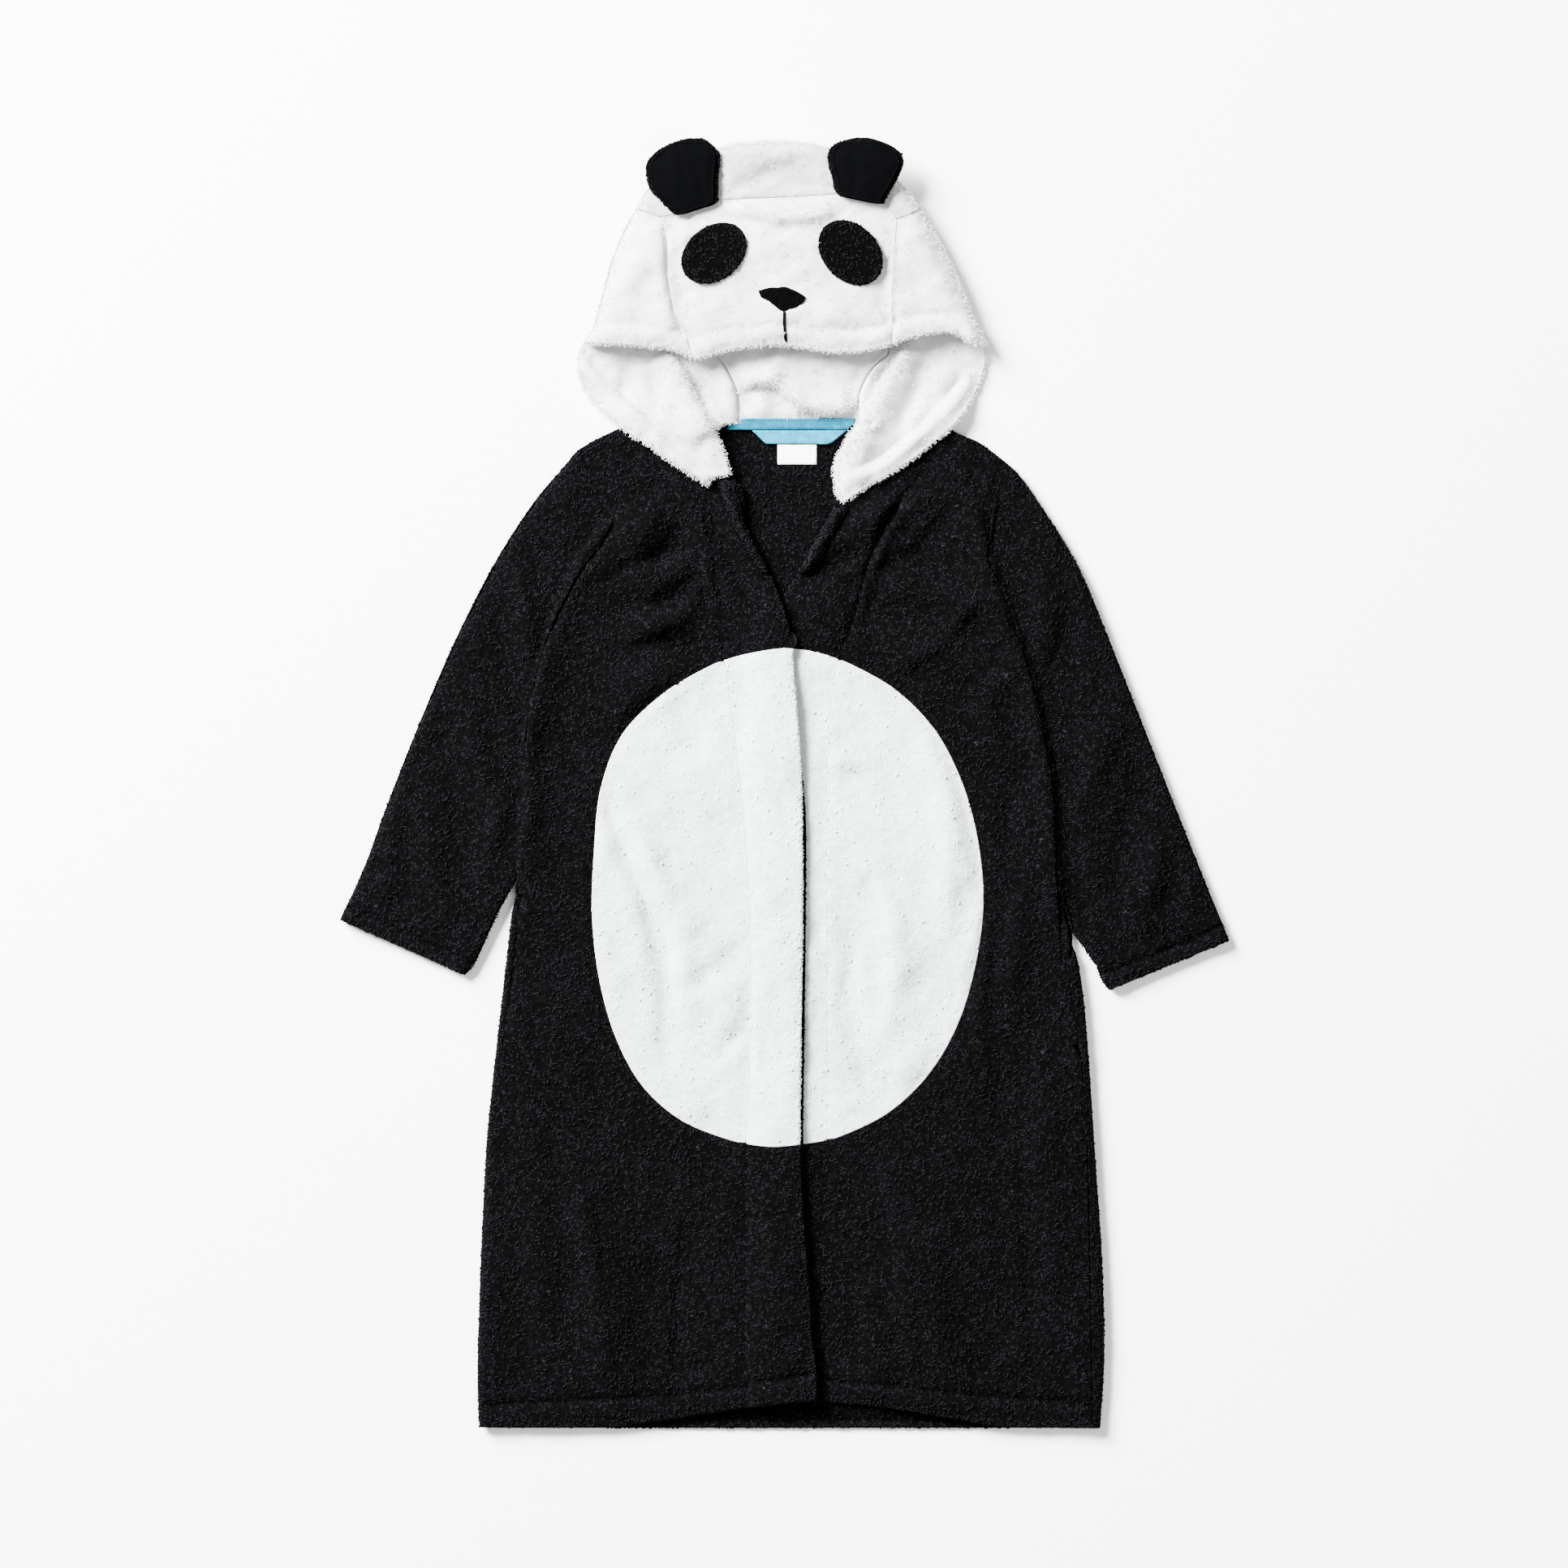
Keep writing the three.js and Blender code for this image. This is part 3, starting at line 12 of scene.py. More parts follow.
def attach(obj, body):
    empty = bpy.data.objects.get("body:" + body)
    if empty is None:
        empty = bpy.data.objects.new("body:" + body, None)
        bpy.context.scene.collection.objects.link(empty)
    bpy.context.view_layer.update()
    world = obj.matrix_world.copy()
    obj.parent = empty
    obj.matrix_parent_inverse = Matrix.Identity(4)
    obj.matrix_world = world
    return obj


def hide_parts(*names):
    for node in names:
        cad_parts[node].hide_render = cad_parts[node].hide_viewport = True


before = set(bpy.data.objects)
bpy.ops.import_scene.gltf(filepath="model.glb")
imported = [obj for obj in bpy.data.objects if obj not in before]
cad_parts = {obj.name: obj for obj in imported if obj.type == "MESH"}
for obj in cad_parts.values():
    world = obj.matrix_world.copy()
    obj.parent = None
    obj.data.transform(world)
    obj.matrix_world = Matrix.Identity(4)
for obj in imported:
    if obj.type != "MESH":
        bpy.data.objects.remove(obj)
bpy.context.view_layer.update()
mm = 0.001


# small sums on arrays

def soft(t):
    t = np.clip(t, 0.0, 1.0)
    return t * t * (3 - 2 * t)


def ripples(x, y, size, seed):
    # uneven waves, each about size across, most of them between -1 and 1
    dice = np.random.default_rng(seed)
    total = np.zeros_like(x)
    for _ in range(16):
        turn, shift = dice.uniform(0, 2 * math.pi, 2)
        length = size * dice.uniform(0.7, 1.7)
        total += np.sin((x * math.cos(turn) + y * math.sin(turn)) * 2 * math.pi / length + shift)
    return total / 4


def fromPath(x, y, path):
    # distance from a path, the share of its length where the nearest spot lies, and 1 on its left or -1
    points = np.array(path, float)
    lengths = np.hypot(*np.diff(points, axis=0).T)
    total, run = lengths.sum(), 0.0
    best, share, way = np.full(len(x), 1e9), np.zeros(len(x)), np.ones(len(x))
    for (x1, y1), (x2, y2), length in zip(points[:-1], points[1:], lengths):
        along = np.clip(((x - x1) * (x2 - x1) + (y - y1) * (y2 - y1)) / length ** 2, 0, 1)
        off = np.hypot(x - x1 - along * (x2 - x1), y - y1 - along * (y2 - y1))
        nearer = off < best
        best[nearer] = off[nearer]
        share[nearer] = ((run + along * length) / total)[nearer]
        way[nearer] = np.sign((x2 - x1) * (y - y1) - (y2 - y1) * (x - x1))[nearer]
        run += length
    return best, share, way


def foldsOn(x, y, folds):
    # soft ridges and troughs: each has a half width, a height and a path, and fades towards its ends
    total = np.zeros_like(x)
    for wide, high, *path in folds:
        off, share, _ = fromPath(x, y, path)
        uneven = wide * (1 + 0.25 * ripples(x, y, 60, len(path) + int(wide * 7)))
        total += high * np.exp(-(off / uneven) ** 2) * (0.35 + 0.65 * np.sin(math.pi * share))
    return total


def swell(off, high, at, wide):
    # a soft ridge or trough beside a line, at a distance from it
    return high * np.exp(-((off - at) / wide) ** 2)


def stepsOn(x, y, steps):
    # edges of folded cloth: high on the left of the path, falling off within a short way on its right
    total = np.zeros_like(x)
    for wide, high, drop, *path in steps:
        off, share, way = fromPath(x, y, path)
        rise = np.where(way > 0, np.exp(-(off / wide) ** 2), soft(1 - off / drop))
        total += high * rise * np.clip(3.5 * np.sin(math.pi * np.clip(share, 0.02, 0.98)), 0, 1)
    return total


# outlines and heights from the frame's solids

leastTilt = 0.2  # a face counts as looking up where its normal rises more than this


def sideOf(node, facing, low, high, lowY):
    # the faces of a solid that look up (1) or down (-1), as a tree to cast on and their outline
    solid = bmesh.new()
    solid.from_mesh(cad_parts[node].data)
    bmesh.ops.scale(solid, vec=(1 / mm, 1 / mm, 1 / mm), verts=solid.verts)
    bmesh.ops.remove_doubles(solid, verts=solid.verts, dist=0.002)
    solid.normal_update()
    chosen = []
    for face in solid.faces:
        middle = face.calc_center_median()
        if face.normal.z * facing > leastTilt and low < middle.z < high and middle.y > lowY:
            chosen.append(face)
    spots = [vert.co.copy() for vert in solid.verts]
    solid.verts.index_update()
    corners = [[vert.index for vert in face.verts] for face in chosen]
    tree = BVHTree.FromPolygons(spots, corners)
    edges = {(a, b) for c in corners for a, b in zip(c, c[1:] + c[:1])}
    following = {a: b for a, b in edges if (b, a) not in edges}
    loops = []
    while following:
        start, at = next(iter(following.items()))
        loop = [start]
        del following[start]
        while at != start and at in following:
            loop.append(at)
            at = following.pop(at)
        loops.append(np.array([spots[k].xy for k in loop]))
    solid.free()
    loop = max(loops, key=lambda each: abs(areaOf(each)))
    return tree, loop if areaOf(loop) > 0 else loop[::-1]


def areaOf(loop):
    x, y = loop.T
    return 0.5 * float(np.sum(x * np.roll(y, -1) - y * np.roll(x, -1)))


sharpTurn = math.radians(36)  # an outline that turns more than this at a point has a corner there
leastApart = 0.5  # points of an outline nearer together than this count as one


def smoothLoop(loop, spacing):
    # the outline drawn again through its points as a smooth line, its sharp corners kept
    kept = [loop[0]]
    for point in loop[1:]:
        if np.hypot(*(point - kept[-1])) > leastApart:
            kept.append(point)
    if np.hypot(*(kept[0] - kept[-1])) <= leastApart:
        kept.pop()
    points = np.array(kept)
    count = len(points)
    before, after = points - np.roll(points, 1, 0), np.roll(points, -1, 0) - points
    turn = np.arctan2(before[:, 0] * after[:, 1] - before[:, 1] * after[:, 0], (before * after).sum(1))
    sharp = np.abs(turn) > sharpTurn
    drawn = []
    for k in range(count):
        p0, p1, p2, p3 = (points[(k + step) % count] for step in (-1, 0, 1, 2))
        p0 = 2 * p1 - p2 if sharp[k] else p0
        p3 = 2 * p2 - p1 if sharp[(k + 1) % count] else p3
        knots = [0.0]
        for a, b in ((p0, p1), (p1, p2), (p2, p3)):
            knots.append(knots[-1] + max(1e-4, np.hypot(*(b - a))) ** 0.5)
        t0, t1, t2, t3 = knots
        steps = max(1, round(np.hypot(*(p2 - p1)) / spacing))
        for t in np.linspace(t1, t2, steps, endpoint=False):
            a1 = p0 + (p1 - p0) * (t - t0) / (t1 - t0)
            a2 = p1 + (p2 - p1) * (t - t1) / (t2 - t1)
            a3 = p2 + (p3 - p2) * (t - t2) / (t3 - t2)
            b1 = a1 + (a2 - a1) * (t - t0) / (t2 - t0)
            b2 = a2 + (a3 - a2) * (t - t1) / (t3 - t1)
            drawn.append(b1 + (b2 - b1) * (t - t1) / (t2 - t1))
    return np.array(drawn)


def inwardOf(loop):
    # the way into the outline at each of its points
    along = np.roll(loop, -1, 0) - np.roll(loop, 1, 0)
    return np.column_stack([-along[:, 1], along[:, 0]]) / np.maximum(np.hypot(*along.T), 1e-6)[:, None]


def inside(loop, x, y):
    # which of the points lie within the outline
    within = np.zeros(len(x), bool)
    for (x1, y1), (x2, y2) in zip(loop, np.roll(loop, -1, 0)):
        if y1 == y2:
            continue
        crosses = (y1 > y) != (y2 > y)
        within ^= crosses & (x < (x2 - x1) * (y - y1) / (y2 - y1) + x1)
    return within


def nearestOn(points, x, y):
    # the distance to the nearest of the points, and which one it is
    tree = KDTree(len(points))
    for k, (px, py) in enumerate(points):
        tree.insert((px, py, 0), k)
    tree.balance()
    found = [tree.find((px, py, 0)) for px, py in zip(x, y)]
    return np.array([f[2] for f in found]), np.array([f[1] for f in found])


def spread(path, spacing):
    # even points along a path
    points = np.array(path, float)
    lengths = np.hypot(*np.diff(points, axis=0).T)
    run = np.concatenate([[0], np.cumsum(lengths)])
    at = np.linspace(0, run[-1], max(2, round(run[-1] / spacing) + 1))
    return np.column_stack([np.interp(at, run, points[:, 0]), np.interp(at, run, points[:, 1])])


def castOn(tree, x, y, facing, guess):
    # the height of one side of a solid, and past its edge that of its nearest spot
    heights = np.empty(len(x))
    way = Vector((0, 0, -facing))
    for k, (px, py) in enumerate(zip(x, y)):
        hit = tree.ray_cast(Vector((px, py, 100 * facing)), way)[0]
        heights[k] = (hit or tree.find_nearest(Vector((px, py, guess)))[0]).z
    return heights


def allSolids():
    # every solid of the frame in one tree, and which node each face is of
    spots, corners, owners = [], [], []
    for name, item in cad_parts.items():
        start = len(spots)
        spots += [vert.co / mm for vert in item.data.vertices]
        corners += [[start + k for k in face.vertices] for face in item.data.polygons]
        owners += [name] * len(item.data.polygons)
    return BVHTree.FromPolygons(spots, corners), owners


solids, owners = allSolids()


up, down = Vector((0, 0, 1)), Vector((0, 0, -1))
farAway = 99.0  # stands for nothing above
ownWall = 5.5  # faces of the piece itself this near above a point are of the same wall


def coverOver(node, x, y, z):
    # how far above each point the next piece, or another layer of the same one, lies
    found = np.full(len(x), farAway)
    for k, (px, py, pz) in enumerate(zip(x, y, z)):
        start = Vector((px, py, pz))
        for _ in range(5):
            spot, _, face, _ = solids.ray_cast(start, up)
            if spot is None:
                break
            if owners[face] != node or spot.z - pz > ownWall:
                found[k] = spot.z - pz
                break
            start = spot + up * 0.02
    return found


sewnReach = 1.7  # how much higher or lower a piece may lie and still be sewn on at the edge


def sewnAt(node, x, y, z):
    # 1 where the next piece carries on at about the same height
    found = np.zeros(len(x))
    for k, (px, py, pz) in enumerate(zip(x, y, z)):
        spot, _, face, _ = solids.ray_cast(Vector((px, py, pz + sewnReach)), down, 2 * sewnReach)
        found[k] = spot is not None and owners[face] != node
    return found


edgeRings = (0.45, 1.1, 2.1)  # how far in from the edge each ring of points lies
besideSeam = (-1.7, -0.7, 0.7, 1.7)  # and how far beside a seam line each row does
edgeSpacing = 0.8  # between the spots that stand for an outline where distances to it are measured
jitter = 0.15  # how far the net's points are moved, as a share of its spacing


def fillOutline(loop, spacing, seamLines):
    # triangles over an outline: rings close to its edge, rows along each seam line, and an even net between
    after, inward = np.roll(loop, -1, 0), inwardOf(loop)
    dense = np.concatenate([spread([a, b], edgeSpacing)[:-1] for a, b in zip(loop, after)])
    rings = [(loop + inward * out, 0.85 * out) for out in edgeRings]
    for line in seamLines:
        middle = spread(line, 2.4)
        run = np.gradient(middle, axis=0)
        side = np.column_stack([-run[:, 1], run[:, 0]]) / np.hypot(*run.T)[:, None]
        rings += [(middle + side * off, 1.6) for off in besideSeam]
    (x0, y0), (x1, y1) = loop.min(0), loop.max(0)
    rows = np.arange(y0, y1, spacing * 0.866)  # rows of even triangles
    net = [(x, y) for k, y in enumerate(rows) for x in np.arange(x0 + k % 2 * spacing / 2, x1, spacing)]
    net = np.array(net) + np.random.default_rng(3).uniform(-jitter, jitter, (len(net), 2)) * spacing
    if seamLines:
        lineSpots = np.concatenate([ring for ring, _ in rings[len(edgeRings):]])
        net = net[nearestOn(lineSpots, *net.T)[0] > 0.6 * spacing]
    rings.append((net, edgeRings[-1] + 0.35 * spacing))
    kept = [loop]
    for points, least in rings:
        points = points[inside(loop, *points.T)]
        if len(points):
            kept.append(points[nearestOn(dense, *points.T)[0] >= least])
    flat = np.concatenate(kept)
    result = delaunay_2d_cdt([Vector(p) for p in flat], [], [list(range(len(loop)))], 1, 1e-5)
    spots = np.array([tuple(v) for v in result[0]])
    onEdge = np.array([any(k < len(loop) for k in origin) for origin in result[3]])
    return spots, [tuple(f) for f in result[2]], onEdge, dense


def settled(heights, edges, hold, rounds):
    # the coarse solid's facets smoothed out, all but near the edge
    a, b = edges.T
    count = len(heights)
    share = np.bincount(a, minlength=count) + np.bincount(b, minlength=count)
    for _ in range(rounds):
        near = np.bincount(a, heights[b], count) + np.bincount(b, heights[a], count)
        heights = heights + 0.5 * hold * (near / share - heights)
    return heights


# a piece of cloth

seamAllowance = 0.2  # how far each outline reaches over the gap between two solids
touching = 3.2  # what lies nearer over the cloth than this presses its folds flat
openAir = 60  # cloth with nothing nearer over it than this is open to view
rollReach = 3  # how far in from its edge a tube's cloth rolls over
rollHeight = 1.4  # cloth this near the height where a tube's layers meet is part of its roll
grooveWidth = 2.1  # how far the cloth is drawn in beside a stitched line
freeReach, foldReach = 3.0, 4.0  # how far in from a free edge and beside a fold the pile stands up
roundSpots = ((1.7, 0), (-0.9, 1.5), (-0.9, -1.5))  # pile grows only where the cloth is open here too


def rolledMiddle(part, x, y, fromEdge, surface, middle):
    # rolled edges end where the two layers of a tube meet
    x0, y0, x1, y1 = part.get("roll", (0, 0, 0, 0))
    inRoll = (x > x0) & (x < x1) & (y > y0) & (y < y1)
    inRoll |= np.abs(surface - part["meet"]) < rollHeight
    return np.where(inRoll & (fromEdge < rollReach), part["meet"], middle)


def sewnShareOf(node, dense, level):
    # 1 along seams and 0 along free edges, with a soft change between them
    past = dense - inwardOf(dense)
    share = sewnAt(node, *past.T, level)
    return np.convolve(np.tile(share, 3), np.ones(7) / 7, "same")[len(dense):2 * len(dense)]


def liftOf(piece, part, x, y, fromEdge, edgeSpot, over):
    # how far the cloth stands off its solid: folds, small crinkles, puckers along its edge, stitched lines
    shape = part.get("relief")
    lift = shape(x, y, fromEdge) if shape else np.zeros_like(x)
    lift = np.where(over < touching, np.minimum(lift, 0.0), lift)
    crinkle = piece["crinkle"] * soft(fromEdge / 4) * (over > touching)
    lift = lift + crinkle * ripples(x, y, piece.get("crinkleSize", 9), 11)
    pucker = np.sin(edgeSpot * edgeSpacing / 1.7 + 2 * ripples(x, y, 40, 5))
    sunk = np.exp(-(fromEdge / piece.get("sinkWidth", 4.5)) ** 2) * soft(fromEdge / 1.5)
    lift += (0.2 * pucker - piece["sink"]) * sunk
    for line in part.get("grooves", []):
        lift -= piece.get("grooveDepth", 2.2) * np.exp(-(fromPath(x, y, line)[0] / grooveWidth) ** 2)
    return lift


def layer(piece, part):
    # one closed thin shell over one side of a solid
    node, thick, facing = piece["node"], piece["thick"], part.get("facing", 1)
    low, high = part.get("z", (-1, 99))
    tree, rough = sideOf(node, facing, low, high, part.get("lowY", -999))
    loop = smoothLoop(rough, 2.6)
    loop = loop - inwardOf(loop) * seamAllowance
    spots, faces, onEdge, dense = fillOutline(loop, piece["spacing"], part.get("grooves", []))
    x, y = spots.T
    fromEdge, edgeSpot = nearestOn(dense, x, y)
    fromEdge[onEdge] = 0
    guess = (low + high) / 2 if high < 50 else 12
    surface = castOn(tree, x, y, facing, guess)
    edges = np.array(sorted({tuple(sorted(e)) for f in faces for e in zip(f, f[1:] + f[:1])}))
    surface = settled(surface, edges, soft((fromEdge - 3) / 8), 24)
    top = surface if facing > 0 else surface + thick
    bottom = top - thick
    middle = (top + bottom) / 2
    if "meet" in part:
        middle = rolledMiddle(part, x, y, fromEdge, surface, middle)
    # along a seam the edge stays near the neighbour's face, elsewhere it is rounded off
    level = castOn(tree, *dense.T, facing, guess) + (thick if facing < 0 else 0)
    sewnShare = sewnShareOf(node, dense, level)[edgeSpot]
    middle = middle + sewnShare * (top - piece.get("seamDepth", 0.8) - middle)
    over = coverOver(node, x, y, top + 0.05)
    lift = liftOf(piece, part, x, y, fromEdge, edgeSpot, over)
    rounding = np.sqrt(np.clip(1 - (1 - np.clip(fromEdge / part.get("round", 2.1), 0, 1)) ** 2, 0, 1))
    topShown = middle + (top + lift - middle) * rounding
    underLift = 0.0 if facing < 0 else np.minimum(lift, 1.0)  # what lies on the surface stays flat below
    bottomShown = middle + (bottom + underLift - middle) * rounding
    topShown = np.where(onEdge, middle, np.maximum(topShown, bottomShown + 0.2))
    # how thick the pile stands: most along free edges and folds, none under another piece
    fuzz = piece.get("inside", 0.3) + (1 - sewnShare) * np.exp(-(fromEdge / freeReach) ** 2)
    for line in part.get("fuzzy", []):
        fuzz = np.maximum(fuzz, np.exp(-(fromPath(x, y, line)[0] / foldReach) ** 2))
    near = [coverOver(node, x + sx, y + sy, top + 0.05) for sx, sy in roundSpots]
    openHere = (over > openAir) & (np.min(near, axis=0) > openAir)
    return spots, faces, onEdge, topShown, bottomShown, np.clip(fuzz, 0, 1) * openHere


def makeObject(name, spots, faces, material):
    # a smooth mesh from points in millimetres
    mesh = bpy.data.meshes.new(name)
    mesh.from_pydata((np.asarray(spots) * mm).tolist(), [], faces)
    mesh.materials.append(material)
    mesh.polygons.foreach_set("use_smooth", [True] * len(mesh.polygons))
    made = bpy.data.objects.new(name, mesh)
    bpy.context.scene.collection.objects.link(made)
    return made


shells = {}  # each node's finished cloth


def cutSize(spots):
    # width and length of the smallest rectangle that the cut fits in
    best = None
    for degrees in range(0, 90, 3):
        c, s = math.cos(math.radians(degrees)), math.sin(math.radians(degrees))
        size = np.ptp(spots @ np.array([[c, -s], [s, c]]), axis=0)
        if best is None or size.prod() < best.prod():
            best = size
    return sorted(best)


def makeCloth(piece):
    # every layer of a piece as one mesh, printed with the cut that shows
    allSpots, allFaces, allFuzz = [], [], []
    area, width, length = 0.0, 0.0, 0.0
    for part in piece["layers"]:
        spots, faces, onEdge, top, bottom, fuzz = layer(piece, part)
        start = sum(len(each) for each in allSpots)
        count = len(spots)
        under = np.where(onEdge, np.arange(count), -1)
        loose = np.flatnonzero(~onEdge)
        under[loose] = count + np.arange(len(loose))
        allSpots.append(np.column_stack([spots, top]))
        allSpots.append(np.column_stack([spots[loose], bottom[loose]]))
        allFuzz += [fuzz, np.zeros(len(loose))]
        allFaces += [tuple(start + k for k in f) for f in faces]
        allFaces += [tuple(int(start + under[k]) for k in reversed(f)) for f in faces]
        corners = spots[np.array(faces)]
        a, b = corners[:, 1] - corners[:, 0], corners[:, 2] - corners[:, 0]
        area += 0.5 * np.abs(a[:, 0] * b[:, 1] - a[:, 1] * b[:, 0]).sum()
        size = cutSize(spots)
        width, length = width + size[0], max(length, size[1])
    made = makeObject(piece["name"], np.concatenate(allSpots), allFaces, piece["material"])
    made.data.attributes.new("fuzz", "FLOAT", "POINT").data.foreach_set("value", np.concatenate(allFuzz))
    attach(made, "root")
    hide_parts(piece["node"])
    shells[piece["node"]] = made
    cutText = f"cut {width:.0f} x {length:.0f} mm, {area / 100:.0f} cm2"
    print(f"{piece['name']}: {len(allFaces)} triangles, {cutText}")


# materials

def nodesOf(name):
    material = bpy.data.materials.new(name)
    material.use_nodes = True
    tree = material.node_tree
    shader = tree.nodes["Principled BSDF"]
    place = tree.nodes.new("ShaderNodeTexCoord").outputs["Object"]
    return material, tree, shader, place


def link(tree, source, node, socket):
    tree.links.new(source, node.inputs[socket])
    return node


def noiseOn(tree, place, scale, detail=2.0, rough=0.5):
    made = link(tree, place, tree.nodes.new("ShaderNodeTexNoise"), "Vector")
    made.inputs["Scale"].default_value = scale
    made.inputs["Detail"].default_value = detail
    made.inputs["Roughness"].default_value = rough
    return made


def mathOn(tree, kind, first, second):
    made = tree.nodes.new("ShaderNodeMath")
    made.operation = kind
    for k, value in enumerate((first, second)):
        if isinstance(value, (int, float)):
            made.inputs[k].default_value = value
        else:
            tree.links.new(value, made.inputs[k])
    return made.outputs[0]


def rampOn(tree, source, stops):
    ramp = link(tree, source, tree.nodes.new("ShaderNodeValToRGB"), "Fac")
    while len(ramp.color_ramp.elements) < len(stops):
        ramp.color_ramp.elements.new(0.5)
    for element, (at, colour) in zip(ramp.color_ramp.elements, stops):
        element.position = at
        element.color = (*colour, 1)
    return ramp.outputs["Color"]


def bumpOn(tree, height, distance, strength):
    bump = link(tree, height, tree.nodes.new("ShaderNodeBump"), "Height")
    bump.inputs["Distance"].default_value = distance * mm
    bump.inputs["Strength"].default_value = strength
    return bump.outputs["Normal"]


def pileMaterial(look):
    # curls of pile: bent ridges for the curls, broader clumps, and fine noise for the fibres in them; the
    # colour follows the same heights as the bumps, with painted shade in the hollows and random broad patches
    # of tone
    material, tree, shader, place = nodesOf(look["name"])
    curls = noiseOn(tree, place, 1000 / look["curl"], 1.0, 0.5)
    curls.noise_type = "RIDGED_MULTIFRACTAL"
    curls.inputs["Distortion"].default_value = look["bend"]
    clumps = noiseOn(tree, place, 1000 / look["clump"], 2, 0.5)
    fibres = noiseOn(tree, place, 1000 / look["fibre"], 3, 0.6)
    broad = noiseOn(tree, place, 16, 3, 0.5)  # patches about 6 cm across
    height = mathOn(tree, "MULTIPLY", curls.outputs["Fac"], look["curlShare"])
    for noise, share in ((clumps, "clumpShare"), (fibres, "fibreShare")):
        height = mathOn(tree, "ADD", height, mathOn(tree, "MULTIPLY", noise.outputs["Fac"], look[share]))
    shadeAndTone = mathOn(tree, "ADD", height, mathOn(tree, "MULTIPLY", broad.outputs["Fac"], look["broadShare"]))
    # painted shade: the base colour follows the pile's height, darker in its hollows, plus broad random
    # patches of tone
    tree.links.new(rampOn(tree, shadeAndTone, look["colours"]), shader.inputs["Base Color"])
    tree.links.new(bumpOn(tree, height, look["depth"], look["strength"]), shader.inputs["Normal"])
    shader.inputs["Roughness"].default_value = look["rough"]
    shader.inputs["Specular IOR Level"].default_value = look["specular"]
    return material


def plainMaterial(name, colour, rough, specular):
    material, tree, shader, place = nodesOf(name)
    tree.nodes.remove(place.node)
    shader.inputs["Base Color"].default_value = (*colour, 1)
    shader.inputs["Roughness"].default_value = rough
    shader.inputs["Specular IOR Level"].default_value = specular
    return material


def wovenMaterial(look):
    # two sets of threads that cross; a slant makes them run aslant and turn back in rows
    material, tree, shader, place = nodesOf(look["name"])
    slant = look["slant"]
    parts = link(tree, place, tree.nodes.new("ShaderNodeSeparateXYZ"), "Vector")
    across, along = parts.outputs["X"], parts.outputs["Y"]
    if slant:
        across = mathOn(tree, "ADD", across, mathOn(tree, "PINGPONG", along, slant * mm))
    pitch = 2 * math.pi / (look["thread"] * mm)
    first = mathOn(tree, "SINE", mathOn(tree, "MULTIPLY", across, pitch), 0)
    second = mathOn(tree, "SINE", mathOn(tree, "MULTIPLY", along, pitch), 0)
    weight = 0.25 if slant else 1.0
    both = mathOn(tree, "ADD", first, mathOn(tree, "MULTIPLY", second, weight))
    uneven = noiseOn(tree, place, 300, 3, 0.6)
    # painted shade: the colour darkens between the threads where their relief dips, with random tone from the
    # noise
    level = mathOn(tree, "ADD", mathOn(tree, "MULTIPLY", both, 0.2), uneven.outputs["Fac"])
    tree.links.new(rampOn(tree, level, look["colours"]), shader.inputs["Base Color"])
    tree.links.new(bumpOn(tree, both, look["depth"], 0.5), shader.inputs["Normal"])
    shader.inputs["Roughness"].default_value = look["rough"]
    shader.inputs["Specular IOR Level"].default_value = look["specular"]
    return material


fleeceLook = {  # lengths in mm, then how much each noise counts, then colours from low to high pile: painted shade in the hollows, lighter on the tips
    "name": "blackFleece", "curl": 2.7, "clump": 3.4, "fibre": 0.8, "bend": 1.2,
    "curlShare": 0.44, "clumpShare": 0.38, "fibreShare": 0.45, "broadShare": 0.05,
    "depth": 4.0, "strength": 1.0, "rough": 0.9, "specular": 0.02,
    "colours": [
        (0.44, (0.0001, 0.0001, 0.00014)), (0.6, (0.0022, 0.0022, 0.0028)), (0.78, (0.0145, 0.0145, 0.018)),
    ],
}
blackFleece = pileMaterial(fleeceLook)
blackPatch = pileMaterial(dict(fleeceLook, name="blackPatch", colours=[
    (0.42, (0.00004, 0.00004, 0.00005)), (0.6, (0.0004, 0.0004, 0.00046)), (0.8, (0.0026, 0.0026, 0.0029)),
]))
whiteFleece = pileMaterial({
    "name": "whiteFleece", "curl": 3.4, "clump": 4.6, "fibre": 0.9, "bend": 1.0,
    "curlShare": 0.2, "clumpShare": 0.5, "fibreShare": 0.35, "broadShare": 0.3,
    "depth": 1.6, "strength": 0.8, "rough": 0.95, "specular": 0.04,
    "colours": [(0.4, (0.36, 0.386, 0.396)), (0.65, (0.49, 0.522, 0.532)), (0.9, (0.6, 0.628, 0.638))],
})
plushLook = {
    "name": "whitePlush", "curl": 6.0, "clump": 8.0, "fibre": 0.9, "bend": 0.8,
    "curlShare": 0.14, "clumpShare": 0.5, "fibreShare": 0.35, "broadShare": 0.3,
    "depth": 1.5, "strength": 0.7, "rough": 0.95, "specular": 0.04,
    "colours": [(0.38, (0.37, 0.368, 0.364)), (0.62, (0.49, 0.488, 0.484)), (0.88, (0.6, 0.597, 0.592))],
}
whitePlush = pileMaterial(plushLook)
crownPlush = pileMaterial(dict(plushLook, name="crownPlush", colours=[  # painted shade: a darker copy of the plush for the crown, whose pile lies away from the light
    (0.38, (0.27, 0.27, 0.27)), (0.62, (0.35, 0.35, 0.35)), (0.88, (0.45, 0.45, 0.45)),
]))
blackWoven = wovenMaterial({
    "name": "blackWoven", "thread": 0.6, "slant": 0, "depth": 0.12, "rough": 0.85, "specular": 0.015,
    "colours": [(0.2, (0.0001, 0.00012, 0.0002)), (0.8, (0.0003, 0.00035, 0.0006))],
})
